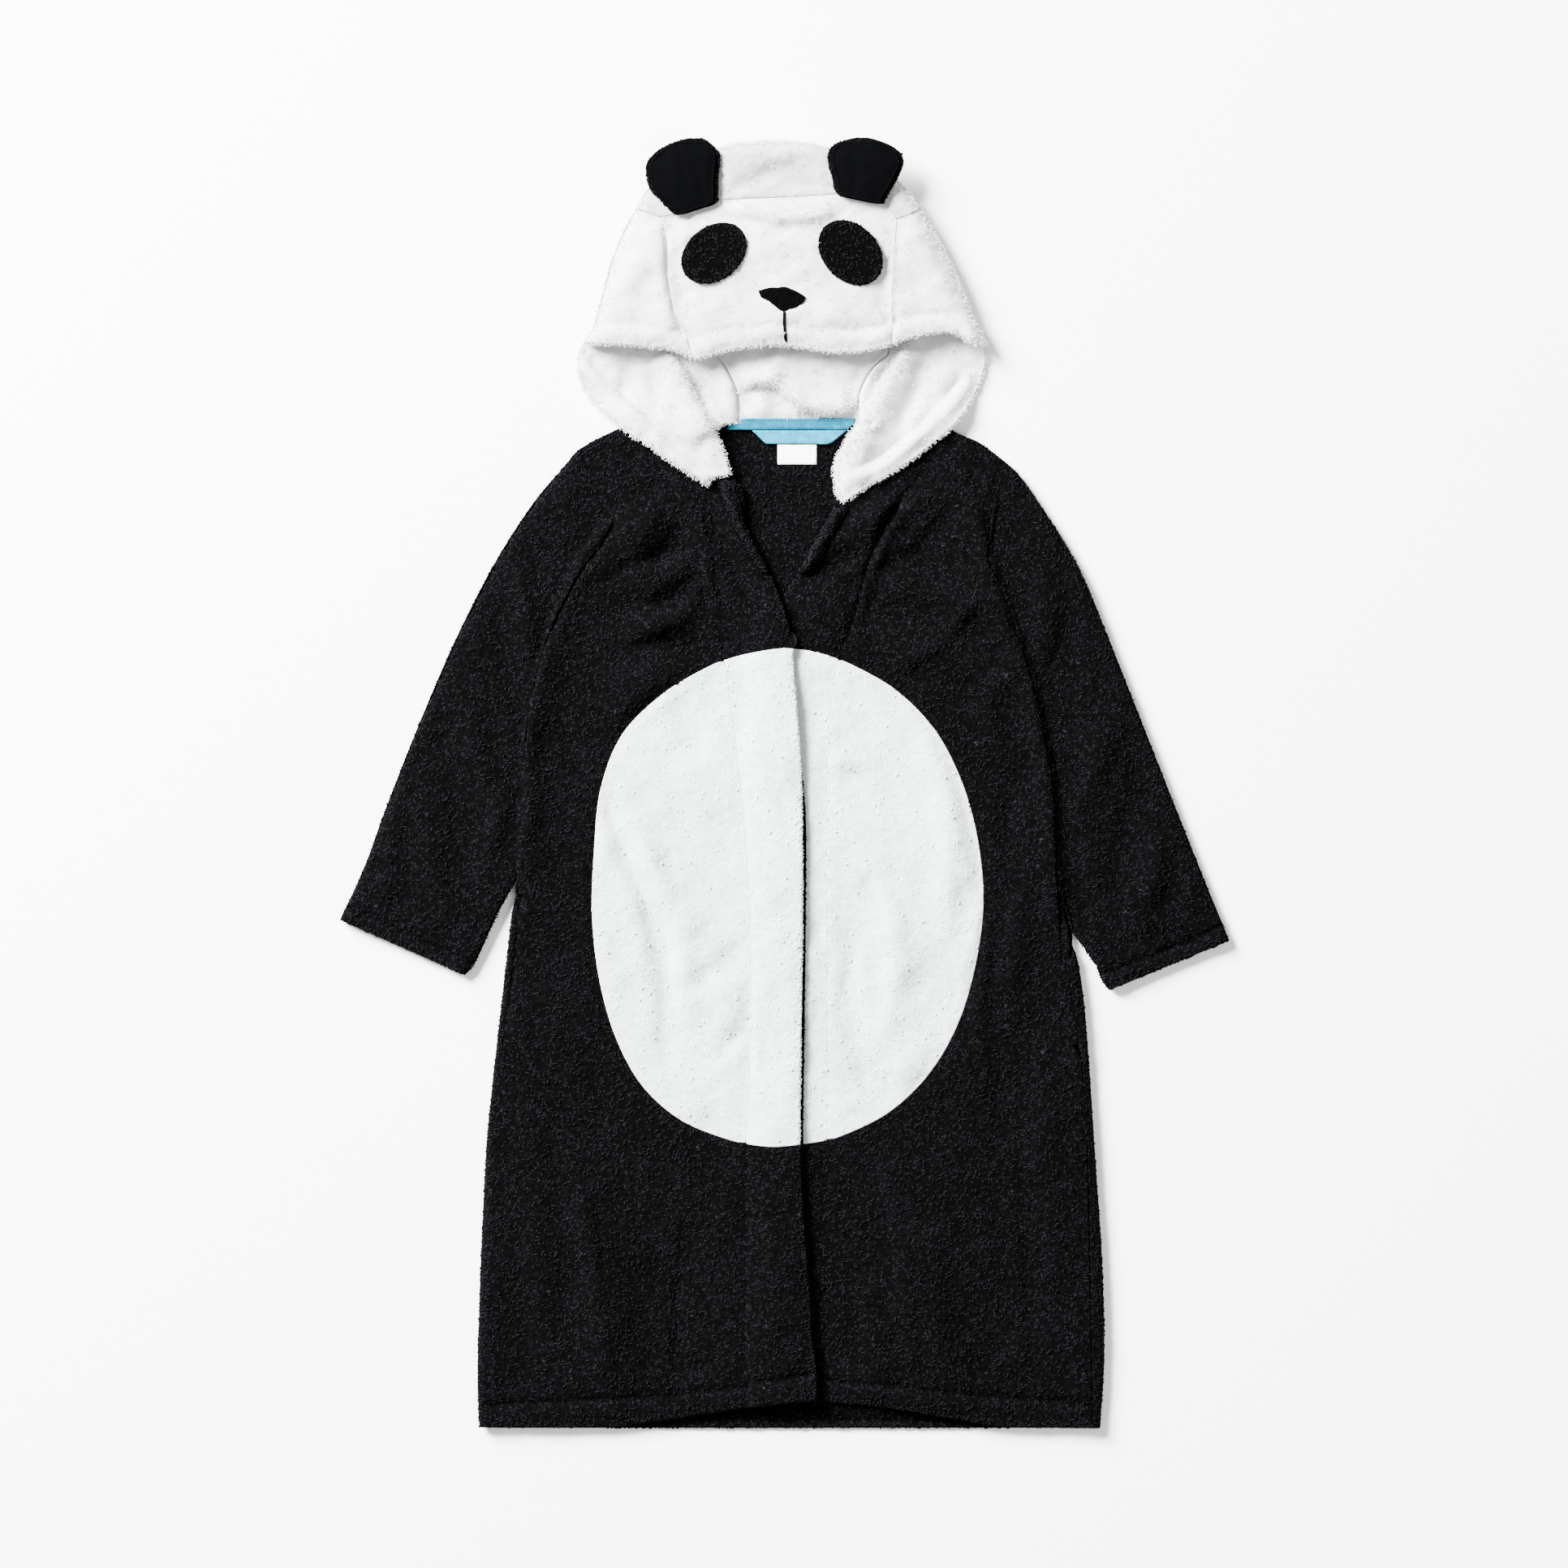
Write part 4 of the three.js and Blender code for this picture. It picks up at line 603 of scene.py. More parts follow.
twillLook = {
    "name": "twill", "thread": 1.3, "slant": 2.3, "depth": 0.4, "rough": 0.8, "specular": 0.05,
    "colours": [(0.15, (0.0, 0.04, 0.075)), (0.5, (0.0, 0.085, 0.14)), (0.85, (0.004, 0.17, 0.25))],
}
twill = wovenMaterial(twillLook)
# painted light: the hanging loop gets a lighter copy of the neck tape's twill, one cloth in lit and shaded
# copies
loopTwill = wovenMaterial(dict(twillLook, name="loopTwill", depth=0.3, colours=[
    (0.15, (0.0, 0.085, 0.14)), (0.5, (0.0, 0.16, 0.26)), (0.85, (0.002, 0.27, 0.4)),
]))
labelCloth = wovenMaterial({
    "name": "labelCloth", "thread": 0.4, "slant": 0, "depth": 0.06, "rough": 0.7, "specular": 0.05,
    "colours": [(0.2, (0.91, 0.91, 0.9)), (0.8, (0.97, 0.97, 0.96))],
})
buttonPlastic = plainMaterial("buttonPlastic", (0.002, 0.002, 0.0024), 0.3, 0.2)
blackThread = plainMaterial("blackThread", (0.0008, 0.0008, 0.001), 0.7, 0.03)
whiteThread = plainMaterial("whiteThread", (0.66, 0.65, 0.64), 0.7, 0.1)
blueThread = plainMaterial("blueThread", (0.004, 0.05, 0.09), 0.7, 0.1)
blackPile = plainMaterial("blackPile", (0.0034, 0.0034, 0.0041), 0.9, 0.02)
whitePile = plainMaterial("whitePile", (0.62, 0.65, 0.66), 0.95, 0.04)
plushPile = plainMaterial("plushPile", (0.66, 0.655, 0.645), 0.95, 0.04)
print("materials made")


# body

bodyFolds = [  # half width, height, then the path
    (10, -1.5, (-97, 238), (-84, 205), (-73, 175), (-104, 166), (-124, 163)),
    (9, -1.3, (-65, 152), (-74, 136), (-114, 130)),
    (10, -1.2, (-124, 116), (-95, 106), (-65, 98)),
    (12, 2.0, (-70, 165), (-90, 152), (-118, 148)),
    (11, 1.8, (-90, 206), (-104, 190), (-120, 178)),
    (11, 1.6, (-70, 122), (-92, 117), (-118, 120)),
    (14, 1.4, (-80, 82), (-112, 66), (-142, 70)),
    (9, -1.2, (4, 152), (30, 161), (64, 172)),
    (12, 2.3, (34, 176), (68, 192), (104, 212)),
    (12, 1.7, (70, 156), (106, 142), (146, 126)),
    (10, -1.2, (60, 140), (98, 122), (136, 98)),
    (14, 1.5, (74, 112), (108, 96), (150, 78)),
    (9, -1.4, (-132, -14), (-114, -65), (-91, -103), (-89, -166), (-84, -204)),
    (11, 2.0, (-118, -10), (-97, -64), (-74, -106), (-70, -168)),
    (9, -1.2, (-26, -118), (-48, -138), (-71, -154)),
    (8, -1.1, (-28, -179), (-51, -204)),
    (15, 1.5, (-52, -116), (-44, -170), (-40, -226)),
    (14, -1.0, (-80, 60), (-68, 40), (-60, 16)),
    (5, 1.4, (28, 23), (44, 18), (58, 11)),
    (8, -1.3, (45, -98), (52, -123), (46, -154), (52, -191), (62, -224)),
    (6, -1.0, (60, -70), (66, -84), (73, -98)),
    (12, 1.6, (70, -60), (84, -120), (78, -186)),
    (10, 1.0, (84, -200), (96, -222)),
    (5, -0.8, (22, -104), (32, -116)),
    (11, 1.6, (110, 30), (124, -40), (120, -110)),
    (18, 1.9, (-152, -290), (-136, -370), (-120, -444)),
    (15, -1.0, (-80, -306), (-88, -380), (-92, -452)),
    (12, 1.4, (-186, -230), (-182, -320), (-176, -420)),
    (19, 1.9, (88, -286), (104, -360), (120, -450)),
    (14, -1.0, (160, -236), (166, -330), (172, -424)),
    (11, 1.3, (58, -320), (64, -390), (72, -456)),
    (14, 1.2, (190, -190), (196, -290), (200, -380)),
    (8, -1.3, (-96, 236), (-86, 214), (-75, 193), (-64, 165), (-58, 136), (-44, 96)),
    (10, 1.3, (-116, 196), (-104, 150), (-98, 112)),
    (8, -1.1, (-178, 84), (-150, 70), (-118, 66)),
    (8, -1.0, (-184, 40), (-160, 30), (-150, 4)),
    (9, 1.2, (170, 92), (150, 60), (158, 20)),
    (8, -1.1, (192, 30), (172, 0), (162, -40)),
    (10, 1.2, (184, -60), (170, -110), (164, -170)),
    (6, 1.2, (-46, 216), (-38, 192), (-25, 166), (-12, 140), (-3, 118)),
    (4, -1.1, (-57, 210), (-49, 186), (-36, 160), (-24, 134), (-14, 114)),
    (8, -1.1, (46, 196), (62, 176), (58, 130), (66, 104)),
]
foldScale = 2.5  # fleece folds stand this many times the heights in their tables

armCreases = {  # where the body's cloth folds over each sleeve, body on the left of the path
    "left": [(-115, 206), (-125, 198), (-136, 190), (-148, 174), (-158, 157), (-164, 142), (-172, 123),
             (-179, 97), (-188, 56), (-192, 35), (-193, 0), (-196, -60)],
    "right": [(213, -120), (206, -92), (202, -40), (199, 3), (191, 47), (186, 76), (178, 97), (168, 118),
              (160, 146), (152, 174), (144, 205), (136, 228)],
}
creaseDips = {"left": 9, "right": 22}  # how broad the sleeve's side of each crease is
creaseSpans = {"left": 4.4, "right": 7.0}  # the short way over which the body falls to it

bodySteps = [  # edges of flat folds, high on the left of the path: radius, height, how far they fall, path
    (11, 2.6, 5, (-46, 118), (-54.7, 152), (-60, 188), (-72, 212), (-84, 236)),
    (12, 3.0, 5, (50, 112), (62, 146), (80, 194), (90, 214)),
    (13, 2.8, 6, (-142, 150), (-120, 166), (-96, 176), (-80, 200)),
    (12, 2.6, 6, (-122, 104), (-96, 112), (-70, 128), (-56, 150)),
    (12, 2.4, 6, (34, 150), (56, 158), (92, 178), (118, 206)),
    (14, 2.4, 7, (84, 84), (116, 104), (146, 140)),
    (13, 2.2, 7, (-96, -196), (-96, -140), (-112, -80), (-134, -30)),
    (14, 2.2, 8, (-128, -440), (-140, -360), (-150, -290)),
    (14, 2.0, 8, (96, -440), (90, -360), (80, -300)),
    (12, 2.0, 7, (150, -240), (146, -160), (152, -90)),
    (12, 1.8, 7, (-90, -460), (-86, -380), (-78, -310)),
    (12, 1.8, 7, (176, -440), (172, -350), (166, -260)),
]


def creased(x, y):
    # the body rises in a soft roll at the crease, and the sleeve dips beside it
    total = np.zeros_like(x)
    for side, path in armCreases.items():
        off, share, way = fromPath(x, y, path)
        fade = np.clip(4 * np.sin(math.pi * np.clip(share, 0.02, 0.98)), 0, 1)
        roll, dip = swell(off, 3.0, 2, 10), swell(off, -1.9, 0, creaseDips[side])
        total += fade * (dip + (roll - dip) * soft(0.5 + way * off / creaseSpans[side]))
    return total


def bodyRelief(x, y, fromEdge):
    folds = foldScale * foldsOn(x, y, bodyFolds) * soft(fromEdge / 10) * soft((236 - y) / 24)
    broad = ripples(x, y, 90, 21) + 0.4 * ripples(x, y, 34, 22)
    steps = stepsOn(x, y, bodySteps) * soft(fromEdge / 5)
    own = np.clip(folds + broad * soft(fromEdge / 12), -2.2, 5) + steps
    return own + creased(x, y) * soft(fromEdge / 1.5)


def quietRelief(x, y, fromEdge):
    return 0.2 * ripples(x, y, 30, 23) * soft(fromEdge / 8)


leftHemLine = [(-221, -459), (-179, -457), (-83, -452), (-35, -446), (-19, -442), (7, -438), (19, -436)]
rightHemLine = [(-13, -434), (39, -442), (78, -445), (142, -452), (206, -457), (226, -459)]
backHemLine = [(-205, -469.8), (-100, -470), (0, -469.5), (100, -470), (205, -469.6)]
pocketSlit = [(-195.6, -92), (-197.4, -110), (-200.4, -140), (-203.4, -164), (-207.6, -192)]
leftRoll = (-260, -480, -196, -80)  # where the left side rolls over: from x, y to x, y
rightRoll = (204, -480, 260, -112)
black = {"spacing": 3.6, "thick": 3.0, "material": blackFleece, "slot": "black_fleece", "crinkle": 0.14,
         "inside": 0.35, "seamDepth": 1.1, "sink": 0.8}

back = dict(black, name="backPanel", node="back", spacing=5.0, on="floor")
back["layers"] = [
    {"facing": -1, "z": (-1, 4.7), "meet": 4.8, "roll": rightRoll, "grooves": [backHemLine],
     "relief": quietRelief},
    {"z": (4.85, 99), "meet": 4.8, "roll": rightRoll},
]
makeCloth(back)

frontLeft = dict(black, name="frontLeft", node="front_left")
frontLeft["layers"] = [
    {"z": (4.85, 99), "meet": 4.8, "roll": leftRoll, "grooves": [leftHemLine, pocketSlit],
     "relief": bodyRelief},
    {"facing": -1, "z": (-1, 3.2), "meet": 4.8, "roll": leftRoll},
]
makeCloth(frontLeft)

frontRight = dict(black, name="frontRight", node="front_right")
frontRight["layers"] = [{"grooves": [rightHemLine], "relief": bodyRelief}]
makeCloth(frontRight)

white = dict(black, material=whiteFleece, slot="white_fleece", inside=0.06, sink=0.3, seamDepth=0.45)
for name, node in (("tummyLeft", "tummy_left"), ("tummyRight", "tummy_right")):
    makeCloth(dict(white, name=name, node=node, layers=[{"relief": bodyRelief}]))

for side, hemLine in (("left", leftHemLine), ("right", rightHemLine)):
    for height in ("lower", "middle", "upper"):
        band = dict(white if height == "middle" else black)
        band.update(name=f"band{side.title()}{height.title()}", node=f"band_{side}_{height}")
        grooves = [hemLine] if height == "lower" else []
        band["layers"] = [{"grooves": grooves, "relief": bodyRelief}]
        makeCloth(band)

placket = dict(black, name="placket", node="placket_left", thick=1.4, spacing=5.0, crinkle=0.1)
makeCloth(dict(placket, layers=[{"round": 0.7}]))


def rolledRelief(x, y, fromEdge):
    # a soft roll, pinched here and there
    return 2.4 * soft(fromEdge / 4.5) * (1 + 0.25 * ripples(x, y, 16, 24)) + 0.4 * ripples(x, y, 9, 25)


turned = dict(black, thick=1.6, spacing=2.0, crinkle=0.25, sink=0.0, inside=0.6)
rolled = [{"round": 1.6, "relief": rolledRelief}]
makeCloth(dict(turned, name="placketTurned", node="placket_left_turned", layers=rolled))
makeCloth(dict(turned, name="edgeTurned", node="edge_right_turned", layers=rolled))
makeCloth(dict(turned, name="pocketRight", node="pocket_right", thick=2.0, layers=[{"round": 1.0}]))
print("body made")

# sleeves

sleeveFolds = {
    "left": [
        (9, 1.3, (-200, 176), (-192, 130), (-178, 92)),
        (8, -1.1, (-216, 140), (-206, 96), (-196, 40)),
        (10, 1.6, (-238, 66), (-226, 30), (-214, 0)),
        (8, -1.0, (-252, 30), (-240, -20), (-230, -62)),
        (9, 1.3, (-272, -20), (-262, -56), (-250, -94)),
        (8, 1.2, (-206, -8), (-214, -36), (-224, -66)),
        (8, 1.2, (-290, -40), (-292, -70), (-296, -90)),
    ],
    "right": [
        (9, 1.3, (192, 164), (194, 120), (188, 88)),
        (8, -1.1, (212, 132), (206, 84), (208, 34)),
        (10, 1.6, (242, 48), (232, 14), (222, -16)),
        (8, -1.0, (262, 20), (254, -30), (246, -70)),
        (9, 1.3, (280, -34), (272, -70), (262, -104)),
        (8, 1.2, (212, -6), (224, -44), (234, -84)),
        (8, 1.2, (298, -60), (300, -84), (302, -100)),
    ],
}
cuffLines = {
    "left": [(-322, -91.5), (-317, -93.5), (-276, -112), (-235, -131), (-228, -134)],
    "right": [(328, -103), (321, -106), (300, -116), (271, -127.6), (241, -138.4), (234, -141)],
}
for side in ("left", "right"):
    def sleeveRelief(x, y, fromEdge, folds=sleeveFolds[side]):
        broad = 0.8 * ripples(x, y, 60, 31) + 0.4 * ripples(x, y, 28, 32)
        own = (foldScale * foldsOn(x, y, folds) + broad) * soft(fromEdge / 12)
        return np.maximum(own + creased(x, y) * soft(fromEdge / 1.5), -1.5)

    sleeve = dict(black, name=f"sleeve{side.title()}", node=f"sleeve_{side}")
    sleeve["layers"] = [
        {"z": (4.05, 99), "meet": 4.0, "grooves": [cuffLines[side]], "relief": sleeveRelief},
        {"facing": -1, "z": (-1, 3.2), "meet": 4.0},
    ]
    makeCloth(sleeve)
print("sleeves made")

# hood

rimPath = [
    (-138.6, 325.2), (-105, 322.8), (-76.2, 318.6), (-64.8, 313.8), (-45, 319.8), (-3, 324), (37.2, 318.6),
    (72.6, 322.8), (101.4, 331.8), (130.2, 331.8),
]
rimLine = [(x, y + 15) for x, y in rimPath]
wingLines = {
    "left": [(-141, 310), (-135, 304), (-114, 284.4), (-87, 257.4), (-67.2, 240), (-60, 233)],
    "right": [(129, 297), (118, 284), (101.4, 266.4), (72.6, 241.8), (52.8, 232.2)],
}
faceFolds = [
    (14, -1.0, (-58, 444), (-20, 450), (20, 449), (44, 444)),
    (16, 1.3, (-60, 462), (-10, 470), (40, 464)),
    (14, 1.2, (-26, 404), (0, 398), (26, 404)),
    (12, 1.0, (-60, 352), (-20, 342), (24, 344), (60, 354)),
    (8, -0.9, (-80, 404), (-78, 372), (-70, 345)),
    (8, -0.8, (76, 404), (76, 374), (72, 346)),
    (10, 1.2, (-126, 366), (-112, 384), (-104, 402)),
    (10, 1.2, (122, 366), (110, 384), (98, 402)),
    (9, -0.9, (-104, 346), (-100, 366), (-94, 384)),
    (9, -0.9, (98, 346), (98, 366), (92, 386)),
    (12, -1.2, (-112, 410), (-124, 388), (-130, 360)),
    (12, -1.2, (110, 412), (126, 388), (134, 362)),
]
wingEdges = {  # where the turned wings end over the hood's inside, the wing on the left of the path
    "left": [(-49.8, 258), (-56.4, 266.4), (-63.3, 278.4), (-69.3, 290.4), (-76.8, 304.8), (-87.5, 322)],
    "right": [(88.5, 326), (83, 312), (77.2, 300), (70, 286), (62, 273), (54, 260), (46, 250)],
}
backPuff = [(-33, 292), (-22, 296.5), (-8, 297), (0.5, 289.5), (12, 279.8), (26, 275), (42, 276.5), (53, 282)]
innerSteps = [(19, 6.5, 4, *wingEdges["left"]), (17, 6.5, 4, *wingEdges["right"]), (12, 6.5, 4, *backPuff)]
innerFolds = [
    (7, -3.4, (-104, 326), (-98, 304), (-93, 286)),
    (16, -1.6, (-128, 314), (-116, 306), (-106, 298)),
    (9, -3.6, (112, 334), (104, 306), (94, 280), (80, 256), (64, 240)),
    (9, 2.6, (-26, 284), (-14, 280), (-2, 274)),
    (8, 1.4, (-12, 320), (-2, 314), (10, 318)),
    (5, -1.6, (-62, 296), (-52, 290), (-45, 276)),
    (9, 1.6, (-112, 296), (-96, 276), (-78, 256)),
    (10, 2.0, (124, 306), (114, 290), (100, 272)),
    (8, -2.6, (72, 318), (70, 306), (66, 294)),
]
seamRolls = [  # the allowances of the inside seams, turned over beside them
    (4.2, 3.6, (-55, 320), (-44.5, 304), (-38, 288.6), (-37, 266)),
    (4.2, 3.6, (84, 325), (68, 307), (60, 293), (58.6, 270)),
]
faceSteps = [  # edges of flat folds and seams of the face, as in the body's steps
    (12, 3.6, 6, (-38, 424), (-26, 421), (-6.6, 417), (10, 416.5), (29, 420), (38, 424)),
    (16, 3.0, 7, (-78, 330), (-84, 345), (-88, 366), (-90, 386), (-92, 404), (-93, 416)),
    (14, 2.4, 9, (-46, 444), (-28, 453), (-8, 461), (8, 463)),
    (14, 1.6, 8, (-62, 406), (-74, 404), (-88, 398)),
]

plushScale = 2.4  # the face's folds stand this many times the heights in their table


def faceRelief(x, y, fromEdge):
    broad = 0.7 * ripples(x, y, 50, 41) + 0.5 * ripples(x, y, 22, 42)
    hem = fromPath(x, y, rimPath)[0]
    rim = swell(hem, 1.5, 7, 5.5) + swell(hem, -0.7, 15, 5)
    own = (plushScale * foldsOn(x, y, faceFolds) + broad) * soft(fromEdge / 8)
    return own + stepsOn(x, y, faceSteps) * soft(fromEdge / 3) + rim * soft(fromEdge / 2)


def innerRelief(x, y, fromEdge):
    broad = 0.7 * ripples(x, y, 34, 43) + 0.5 * ripples(x, y, 15, 44)
    steps = stepsOn(x, y, innerSteps) + foldsOn(x, y, seamRolls)
    hems = np.zeros_like(x)
    for path in (wingLines["left"][::-1], wingLines["right"]):
        off, _, way = fromPath(x, y, path)
        hems += swell(off, -1.4, 0, 6) + np.where(way > 0, swell(off, 3.2, 6.5, 4.6), 0)
    own = (foldsOn(x, y, innerFolds) + broad) * soft(fromEdge / 7)
    return own + (steps + hems) * soft(fromEdge / 1.5) * soft((338 - y) / 8)


plush = {"spacing": 3.2, "thick": 4.0, "material": whitePlush, "slot": "white_plush", "crinkle": 0.35}
plush.update(crinkleSize=8, inside=0.03, sink=1.3, sinkWidth=8.0, seamDepth=1.7, grooveDepth=0.7)
centreBack = dict(plush, name="hoodCentreBack", node="hood_centre_back", on="floor")
centreBack["layers"] = [{"facing": -1, "z": (-1, 8.9), "relief": innerRelief, "fuzzy": [backPuff]}]
makeCloth(centreBack)
for side in ("left", "right"):
    hoodSide = dict(plush, name=f"hoodSide{side.title()}", node=f"hood_side_{side}", on="floor", crinkle=0.15)
    hoodSide["layers"] = [
        {"z": (9.1, 99), "lowY": 300, "meet": 9.0, "grooves": [rimLine], "relief": faceRelief},
        {"facing": -1, "z": (-1, 8.9), "meet": 9.0, "grooves": [wingLines[side]], "relief": innerRelief,
         "fuzzy": [wingEdges[side]]},
    ]
    makeCloth(hoodSide)
hoodFace = dict(plush, name="hoodFace", node="hood_face", on="hood_centre_back")
hoodFace["layers"] = [{"z": (16, 99), "grooves": [rimLine], "relief": faceRelief}]
makeCloth(hoodFace)
hoodCrown = dict(plush, name="hoodCrown", node="hood_crown", on="floor")
hoodCrown.update(material=crownPlush, sink=0.5, seamDepth=0.8)
hoodCrown["layers"] = [
    {"z": (9.1, 99), "meet": 9.0, "relief": faceRelief},
    {"facing": -1, "z": (-1, 8.9), "meet": 9.0},
]
makeCloth(hoodCrown)

earPleats = {
    "left": [(4, -0.8, (-64, 454), (-62, 444), (-60, 433))],
    "right": [(4, -0.8, (53, 453), (51, 435))],
}
for side in ("left", "right"):
    def earRelief(x, y, fromEdge, folds=earPleats[side]):
        return (foldsOn(x, y, folds) + 0.25 * ripples(x, y, 16, 51)) * soft(fromEdge / 4)

    earBack = dict(black, name=f"earBack{side.title()}", node=f"ear_{side}_back", thick=2.6, spacing=2.4)
    earBack["on"] = "hood_crown"
    makeCloth(dict(earBack, layers=[{"round": 1.3}]))
    earFront = dict(earBack, name=f"earFront{side.title()}", node=f"ear_{side}_front", thick=1.2)
    earFront.update(material=blackWoven, slot="black_woven", crinkle=0.08)
    earFront["layers"] = [{"round": 0.6, "relief": earRelief}]
    makeCloth(earFront)

patch = dict(black, material=blackPatch, thick=1.6, spacing=2.2, crinkle=0.12, sink=0.1, on="hood_face")
for name, node in (("eyeLeft", "eye_left"), ("eyeRight", "eye_right"), ("nosePatch", "nose")):
    makeCloth(dict(patch, name=name, node=node, layers=[{"round": 0.9}]))
print("hood made")

# neck

tape = {"name": "neckTape", "node": "neck_tape", "spacing": 2.4, "thick": 0.9, "material": twill,
        "slot": "turquoise_twill", "crinkle": 0.1, "sink": 0.0, "layers": [{"round": 0.4}]}
makeCloth(tape)
loop = {"name": "hangingLoop", "node": "hanging_loop", "spacing": 2.4, "thick": 1.6, "material": loopTwill,
        "slot": "turquoise_twill", "crinkle": 0.1, "sink": 0.0, "layers": [{"round": 0.8}]}
makeCloth(loop)
label = {"name": "neckLabel", "node": "label", "spacing": 2.4, "thick": 0.5, "material": labelCloth,
         "slot": "label_woven", "crinkle": 0.06, "crinkleSize": 16, "sink": 0.0, "layers": [{"round": 0.25}]}
makeCloth(label)

button = {
    "middles": {1: (3.2, 106), 2: (3, 13.5), 3: (2, -83.5), 4: (2, -180.5)},
    "under": 8.4, "radius": 6.5, "thick": 1.8, "around": 40,
    "rim": [(0.8, 0), (0.95, 0.12), (1, 0.4), (1, 0.7), (0.96, 0.92), (0.88, 1), (0.78, 0.92), (0.7, 0.78)],
}


def makeButton(number, x, y):
    # a turned disc: its rim's rings as shares of its radius and thickness, closed below and above
    around, spots, faces = button["around"], [], []
    for out, up in button["rim"]:
        reach, high = out * button["radius"], button["under"] + up * button["thick"]
        for k in range(around):
            turn = 2 * math.pi * k / around
            spots.append((x + reach * math.cos(turn), y + reach * math.sin(turn), high))
    last = (len(button["rim"]) - 1) * around
    for start in range(0, last, around):
        for k in range(around):
            a, b = start + k, start + (k + 1) % around
            faces.append((a, b, b + around, a + around))
    faces.append(tuple(reversed(range(around))))
    faces.append(tuple(range(last, last + around)))
    made = makeObject(f"button{number}", spots, faces, buttonPlastic)
    made.data.polygons[-1].use_smooth = made.data.polygons[-2].use_smooth = False
    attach(made, "root")
    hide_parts(f"button_{number}")


for number, (x, y) in button["middles"].items():
    makeButton(number, x, y)
print("neck and buttons made")


# stitches along paths, and pile over the cloth

def newTree(name, sockets):
    tree = bpy.data.node_groups.new(name, "GeometryNodeTree")
    tree.interface.new_socket("Geometry", in_out="INPUT", socket_type="NodeSocketGeometry")
    for label, kind in sockets:
        tree.interface.new_socket(label, in_out="INPUT", socket_type=kind)
    tree.interface.new_socket("Geometry", in_out="OUTPUT", socket_type="NodeSocketGeometry")
    return tree, tree.nodes.new("NodeGroupInput"), tree.nodes.new("NodeGroupOutput")


def wire(tree, links):
    # each link is a node and its output, then a node and its input
    for source, output, target, socket in links:
        tree.links.new(source.outputs[output], target.inputs[socket])


def grown(base, tree, values, name):
    # what a tree grows on an object, as a plain mesh of its own
    modifier = base.modifiers.new(name, "NODES")
    modifier.node_group = tree
    for item in tree.interface.items_tree:
        if item.in_out == "INPUT" and item.name in values:
            modifier[item.identifier] = values[item.name]
    depsgraph = bpy.context.evaluated_depsgraph_get()
    mesh = bpy.data.meshes.new_from_object(base.evaluated_get(depsgraph), depsgraph=depsgraph)
    base.modifiers.remove(modifier)
    made = bpy.data.objects.new(name, mesh)
    bpy.context.scene.collection.objects.link(made)
    return made


def stitchTree():
    tree, given, result = newTree("stitches", [
        ("Pitch", "NodeSocketFloat"), ("Length", "NodeSocketFloat"), ("Radius", "NodeSocketFloat"),
        ("Turn", "NodeSocketFloat"), ("Thread", "NodeSocketMaterial"),
    ])
    add = tree.nodes.new
    line = add("GeometryNodeMeshToCurve")
    even = add("GeometryNodeResampleCurve")
    even.mode = "LENGTH"
    thread = add("GeometryNodeMeshUVSphere")
    thread.inputs["Segments"].default_value = 6
    thread.inputs["Rings"].default_value = 5
    thread.inputs["Radius"].default_value = 1.0
    size = add("ShaderNodeCombineXYZ")
    shaped = add("GeometryNodeTransform")
    tangent = add("GeometryNodeInputTangent")
    facing = add("FunctionNodeAlignRotationToVector")
    facing.axis = "X"
    twist = add("ShaderNodeCombineXYZ")
    turned = add("FunctionNodeRotateRotation")
    turned.rotation_space = "LOCAL"
    euler = add("FunctionNodeEulerToRotation")
    place = add("GeometryNodeInstanceOnPoints")
    real = add("GeometryNodeRealizeInstances")
    paint = add("GeometryNodeSetMaterial")
    wire(tree, [
        (given, "Geometry", line, "Mesh"),
        (line, "Curve", even, "Curve"),
        (given, "Pitch", even, "Length"),
        (given, "Length", size, "X"),
        (given, "Radius", size, "Y"),
        (given, "Radius", size, "Z"),
        (thread, "Mesh", shaped, "Geometry"),
        (size, "Vector", shaped, "Scale"),
        (tangent, "Tangent", facing, "Vector"),
        (given, "Turn", twist, "Z"),
        (twist, "Vector", euler, "Euler"),
        (facing, "Rotation", turned, "Rotation"),
        (euler, "Rotation", turned, "Rotate By"),
        (even, "Curve", place, "Points"),
        (shaped, "Geometry", place, "Instance"),
        (turned, "Rotation", place, "Rotation"),
        (place, "Instances", real, "Geometry"),
        (real, "Geometry", paint, "Geometry"),
        (given, "Thread", paint, "Material"),
        (paint, "Geometry", result, "Geometry"),
    ])
    return tree


stitches = stitchTree()
shownTrees = {}


def surfaceAt(node, x, y):
    # the height of a finished piece's cloth, or None beside it
    if node not in shownTrees:
        mesh = shells[node].data
        corners = [face.vertices for face in mesh.polygons]
        shownTrees[node] = BVHTree.FromPolygons([vert.co for vert in mesh.vertices], corners)
    hit = shownTrees[node].ray_cast(Vector((x * mm, y * mm, 0.1)), down)[0]
    return hit.z / mm if hit else None


